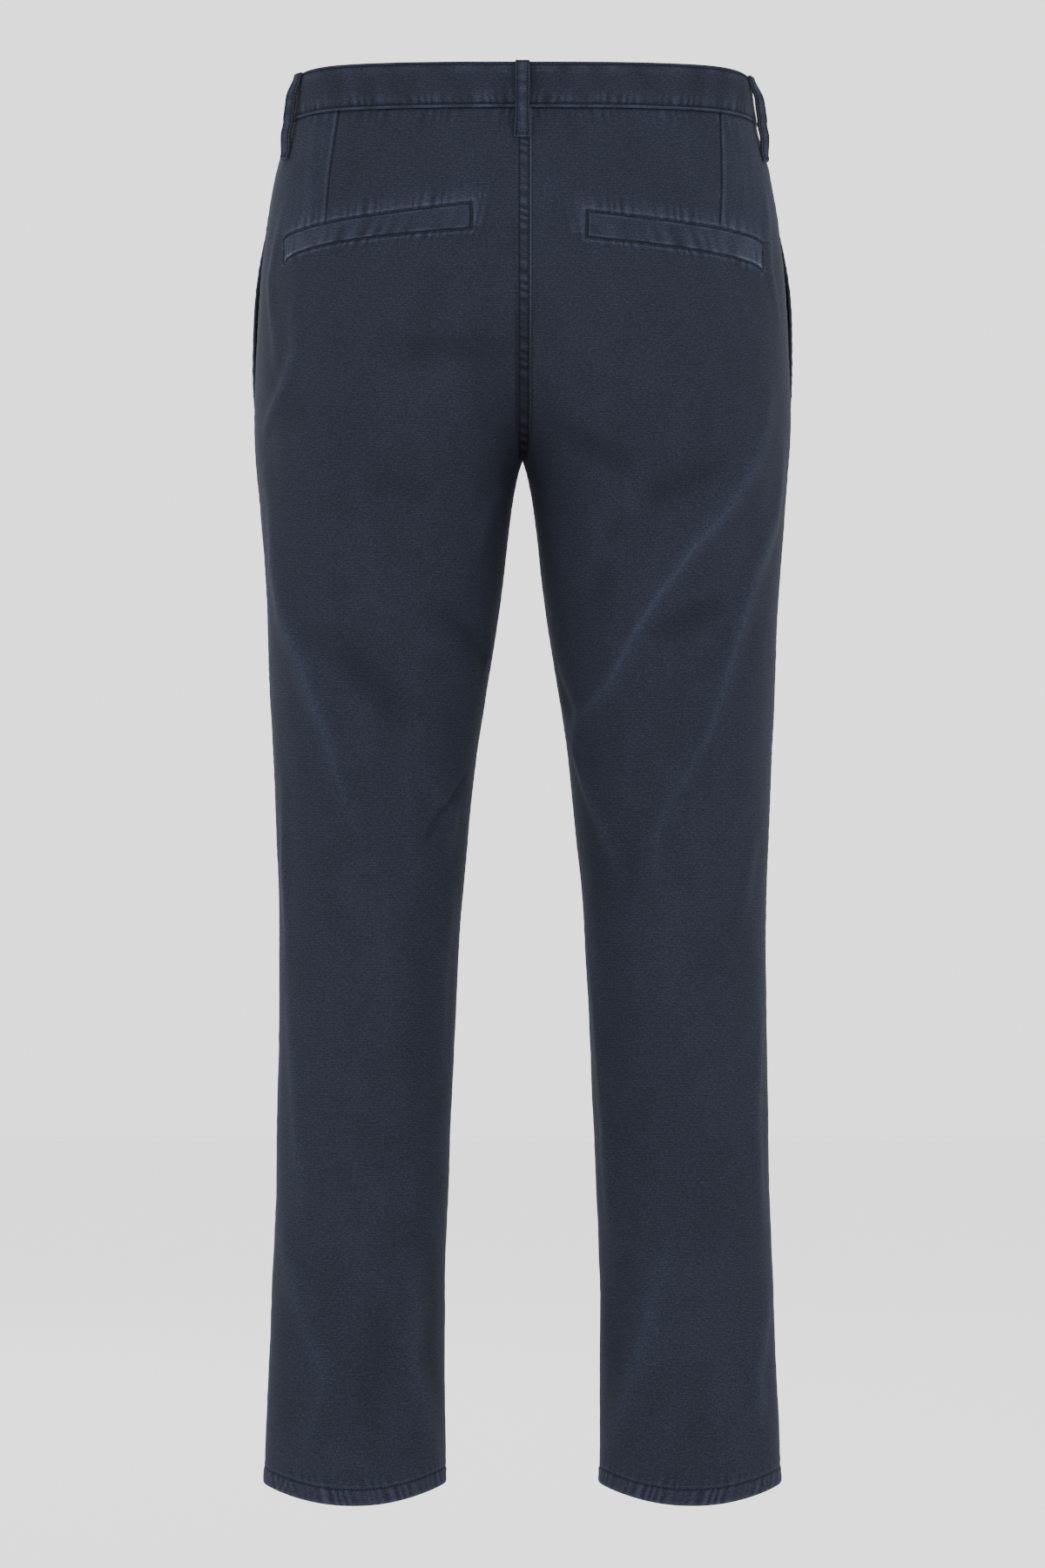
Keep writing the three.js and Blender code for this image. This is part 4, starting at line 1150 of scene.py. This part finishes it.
def on_sheet(sheet, first, second):
    """Points and normals of a finished sheet at places given in its own two coordinates."""
    heights = sheet["second"][:, 0]
    found = []
    for u, v in np.stack(np.broadcast_arrays(first, second), axis=-1):
        row = int(np.clip(np.searchsorted(heights, v) - 1, 0, len(heights) - 2))
        share = np.clip((v - heights[row]) / (heights[row + 1] - heights[row]), 0, 1)
        pair = []
        for k in (row, row + 1):
            line = sheet["first"][k]
            turn = slice(None) if line[0] < line[-1] else slice(None, None, -1)
            fields = [sheet[name][k][turn] for name in ("points", "normal")]
            firsts = line[turn]
            pair.append([[np.interp(u, firsts, field[:, axis]) for axis in range(3)] for field in fields])
        found.append(np.array(pair[0]) * (1 - share) + np.array(pair[1]) * share)
    found = np.array(found)
    return found[:, 0], unit(found[:, 1])


def sew(name, runs, pitch=STITCH_PITCH, length=STITCH_LENGTH):
    """Lays stitches along runs of points and normals, and joins them as one piece."""
    verts, faces = [], []
    for points, normals in runs:
        steps = np.linalg.norm(np.diff(points, axis=0), axis=1)
        travelled = np.concatenate([[0], np.cumsum(steps)])
        for k in range(int((travelled[-1] - length) / pitch) + 1):
            shares = np.array([share for share, _, _ in CAPSULE])
            at = k * pitch + length * shares + 0.12 * math.sin(k * 2.4)
            line = np.stack([np.interp(at, travelled, points[:, axis]) for axis in range(3)], axis=-1)
            up = unit(np.stack([np.interp(at, travelled, normals[:, axis]) for axis in range(3)], axis=-1))
            ahead = unit(line[-1:] - line[:1])
            aside = np.cross(up, ahead)
            start = len(verts)
            for i, (_, swell, lift) in enumerate(CAPSULE):
                for j in range(CAPSULE_SIDES):
                    turn = 2 * math.pi * j / CAPSULE_SIDES
                    out = up[i] * math.cos(turn) + aside[i] * math.sin(turn)
                    verts.append((line[i] + up[i] * lift + out * swell * THREAD_RADIUS) * MM)
            for i in range(len(CAPSULE) - 1):
                for j in range(CAPSULE_SIDES):
                    a, b = start + i * CAPSULE_SIDES, start + (i + 1) * CAPSULE_SIDES
                    after = (j + 1) % CAPSULE_SIDES
                    faces.append((a + j, a + after, b + after, b + j))
            faces.append(tuple(start + j for j in reversed(range(CAPSULE_SIDES))))
            faces.append(tuple(b + j for j in range(CAPSULE_SIDES)))
    mesh = bpy.data.meshes.new(name)
    mesh.from_pydata([tuple(vert) for vert in verts], [], faces)
    mesh.shade_smooth()
    mesh.materials.append(thread)
    piece = add_piece(name, mesh)
    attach(piece, "root")


def edge_lengths(sheet, z):
    """The sheet's first coordinate at both its ends, at each of the heights z."""
    heights = sheet["second"][:, 0]
    low, high = sheet["first"].min(axis=1), sheet["first"].max(axis=1)
    return np.interp(z, heights, low), np.interp(z, heights, high)


def level_row(sheet, z):
    """A run round a sheet at one height, from edge to edge."""
    low, high = edge_lengths(sheet, z)
    return on_sheet(sheet, np.arange(low + 0.6, high - 0.6, 1.5), z)


band_rows = (BAND_FOOT + 2.65, BAND_TOP - 2.3)
band_runs = [level_row(band, z) for band in bands.values() for z in band_rows]
sew("band_stitches", band_runs, pitch=2.5, length=1.8)

hem_runs = [level_row(sheet, HEM + HEM_DEPTH) for sheet in [*backs.values(), *fronts.values()]]
sew("hem_stitches", hem_runs)

seat_heights = np.arange(CROTCH + 27, BAND_FOOT - 1, 2.0)
seat_runs = [on_sheet(fell, np.full(len(seat_heights), x), seat_heights) for x in FELL_ROWS]
sew("seat_stitches", seat_runs, pitch=2.6, length=1.9)


def welt_outline(side, off):
    """A run round the welt at a distance outside its outline, from its inner end over the top."""
    t = np.linspace(0, 1, 60)
    welt = WELTS[side]
    over, under = through_three(welt["top"], t) + off, through_three(welt["foot"], t) - off
    across = welt["inner"] + (welt["outer"] - welt["inner"]) * np.sin(t * np.pi / 2)
    inner_end = np.full(12, welt["inner"] - off)
    outer_end = np.full(12, welt["outer"] + off * 0.6)
    up = np.linspace(under[0], over[0], 12)
    down = np.linspace(over[-1], under[-1], 12)
    x = np.concatenate([inner_end, across, outer_end, across[::-1]])
    z = np.concatenate([up, over, down, under[::-1]])
    length = length_to(angle_across(x, z, True), z)
    return on_sheet(backs[side], length, z)


sew("welt_stitches", [welt_outline(side, 1.7) for side in (LEFT, RIGHT)], pitch=2.0, length=1.4)

mouth_heights = np.arange(POCKET_FOOT + 12, BAND_FOOT - 1, 2.0)
mouth_runs = []
for sheet in fronts.values():
    mouth_edge = edge_lengths(sheet, mouth_heights)[0]
    mouth_runs.append(on_sheet(sheet, mouth_edge + MOUTH_ROW, mouth_heights))
    bar = np.linspace(0.8, 6.2, 8)
    for z in (mouth_heights[0], mouth_heights[0] + 0.8, mouth_heights[-1] - 3):
        mouth_runs.append(on_sheet(sheet, edge_lengths(sheet, z)[0] + bar, z))
sew("pocket_stitches", mouth_runs, pitch=2.8, length=2.0)

fly_foot = PLACKET_FOOT + np.array([2.5, 3.2, 4.5, 6.5])
fly_heights = np.concatenate([fly_foot, np.arange(PLACKET_FOOT + 9, BAND_FOOT - 1, 2)])
fly_curve = np.minimum(-placket_width(fly_heights) + 3, LAP_EDGE - 3)
sew("fly_stitches", [on_sheet(placket, fly_curve, fly_heights)])

loop_runs = []
for word, loop in LOOPS.items():
    heights = np.linspace(loop["foot"] + 3.5, loop["top"] - 2.5, 40)
    loop_runs += [on_sheet(loops[word], np.full(40, across), heights) for across in (-4.0, 4.0)]
    for z in (loop["foot"] + 1.2, loop["foot"] + 2.0, loop["foot"] + 2.8, loop["top"] - 1.2):
        loop_runs.append(on_sheet(loops[word], np.linspace(-5.2, 5.2, 10), np.full(10, z)))
sew("loop_stitches", loop_runs, pitch=2.5, length=1.9)

# Waist button: a moulded four-hole button of dark plastic with a raised rim, turned from one profile
# and drilled, and sewn on with two short bars of thread.
BUTTON_FROM_MIDDLE = 11
BUTTON_SEGMENTS = 56
BUTTON_CLEAR = 0.55
HOLE_RADIUS = 1.0
HOLE_FROM_MIDDLE = 1.7  # in both directions
BUTTON_PROFILE = (  # radius and height of each ring
    (0.01, 0), (6.9, 0), (7.7, 0.25), (8.3, 0.75), (8.5, 1.3), (8.5, 2.1), (8.3, 2.65), (7.8, 2.95), (7.2, 3),
    (6.7, 2.85), (6.2, 2.4), (5.6, 2.1), (4.5, 2), (0.01, 2),
)
turns = [2 * math.pi * k / BUTTON_SEGMENTS for k in range(BUTTON_SEGMENTS)]
verts, faces = [], []
for radius, height in BUTTON_PROFILE:
    verts += [(radius * math.cos(t) * MM, radius * math.sin(t) * MM, height * MM) for t in turns]
for ring in range(0, len(verts) - BUTTON_SEGMENTS, BUTTON_SEGMENTS):
    for k in range(BUTTON_SEGMENTS):
        near, far = ring + k, ring + (k + 1) % BUTTON_SEGMENTS
        faces.append((near, far, far + BUTTON_SEGMENTS, near + BUTTON_SEGMENTS))
faces.append(tuple(reversed(range(BUTTON_SEGMENTS))))
faces.append(tuple(range(len(verts) - BUTTON_SEGMENTS, len(verts))))
button_mesh = bpy.data.meshes.new("button")
button_mesh.from_pydata(verts, [], faces)
button = add_piece("waist_fastener", button_mesh)
for x in (-HOLE_FROM_MIDDLE, HOLE_FROM_MIDDLE):
    for y in (-HOLE_FROM_MIDDLE, HOLE_FROM_MIDDLE):
        bpy.ops.mesh.primitive_cylinder_add(
            vertices=20, radius=HOLE_RADIUS * MM, depth=8 * MM, location=(x * MM, y * MM, 0)
        )
        drill = bpy.context.object
        cut = button.modifiers.new("hole", "BOOLEAN")
        cut.object = drill
        cut.solver = "EXACT"
        select_only(button)
        bpy.ops.object.modifier_apply(modifier="hole")
        bpy.data.objects.remove(drill, do_unlink=True)
button_level = np.array([0.0])
button_lift = np.array([BAND_PROUD + LAP_LIFT + BUTTON_CLEAR])
button_angle = angle_across(np.array([float(BUTTON_FROM_MIDDLE)]), button_level, False)
button_place, button_normal, _ = skin(LEFT, button_angle, button_level, button_lift)
facing = Vector(button_normal[0]).to_track_quat("Z", "Y").to_matrix().to_4x4()
facing.translation = Vector(button_place[0] * MM)
button.data.transform(facing)
select_only(button)
bpy.ops.object.shade_smooth_by_angle(angle=math.radians(40))
horn = bpy.data.materials.new("button_plastic")
horn.use_nodes = True
horn_tree = horn.node_tree
horn_shader = horn_tree.nodes["Principled BSDF"]
horn_place = add_node(horn_tree, "ShaderNodeTexCoord").outputs["Object"]
horn_noise = add_node(
    horn_tree, "ShaderNodeTexNoise", {"Vector": horn_place, "Scale": 160.0, "Detail": 4.0, "Distortion": 1.6}
)
horn_tone = add_node(horn_tree, "ShaderNodeValToRGB", {"Fac": horn_noise.outputs[0]})
horn_tone.color_ramp.elements[0].color = srgb("#15171d")
horn_tone.color_ramp.elements[1].color = srgb("#333844")
horn_rough = add_node(horn_tree, "ShaderNodeMapRange", {0: horn_noise.outputs[0], 3: 0.3, 4: 0.5})
horn_tree.links.new(horn_tone.outputs[0], horn_shader.inputs["Base Color"])
horn_tree.links.new(horn_rough.outputs[0], horn_shader.inputs["Roughness"])
button.data.materials.append(horn)
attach(button, "root")
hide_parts("waist_button")

bar_runs = []
for y in (-HOLE_FROM_MIDDLE, HOLE_FROM_MIDDLE):
    bar = np.array([facing @ Vector((x * MM, y * MM, 2.15 * MM)) for x in np.linspace(-2.1, 2.1, 6)]) / MM
    bar_normals = np.repeat(button_normal, len(bar), axis=0)
    bar_runs += [(bar + bar_normals * rise, bar_normals) for rise in (0, 0.2)]
sew("button_thread", bar_runs, pitch=4.2, length=4.0)
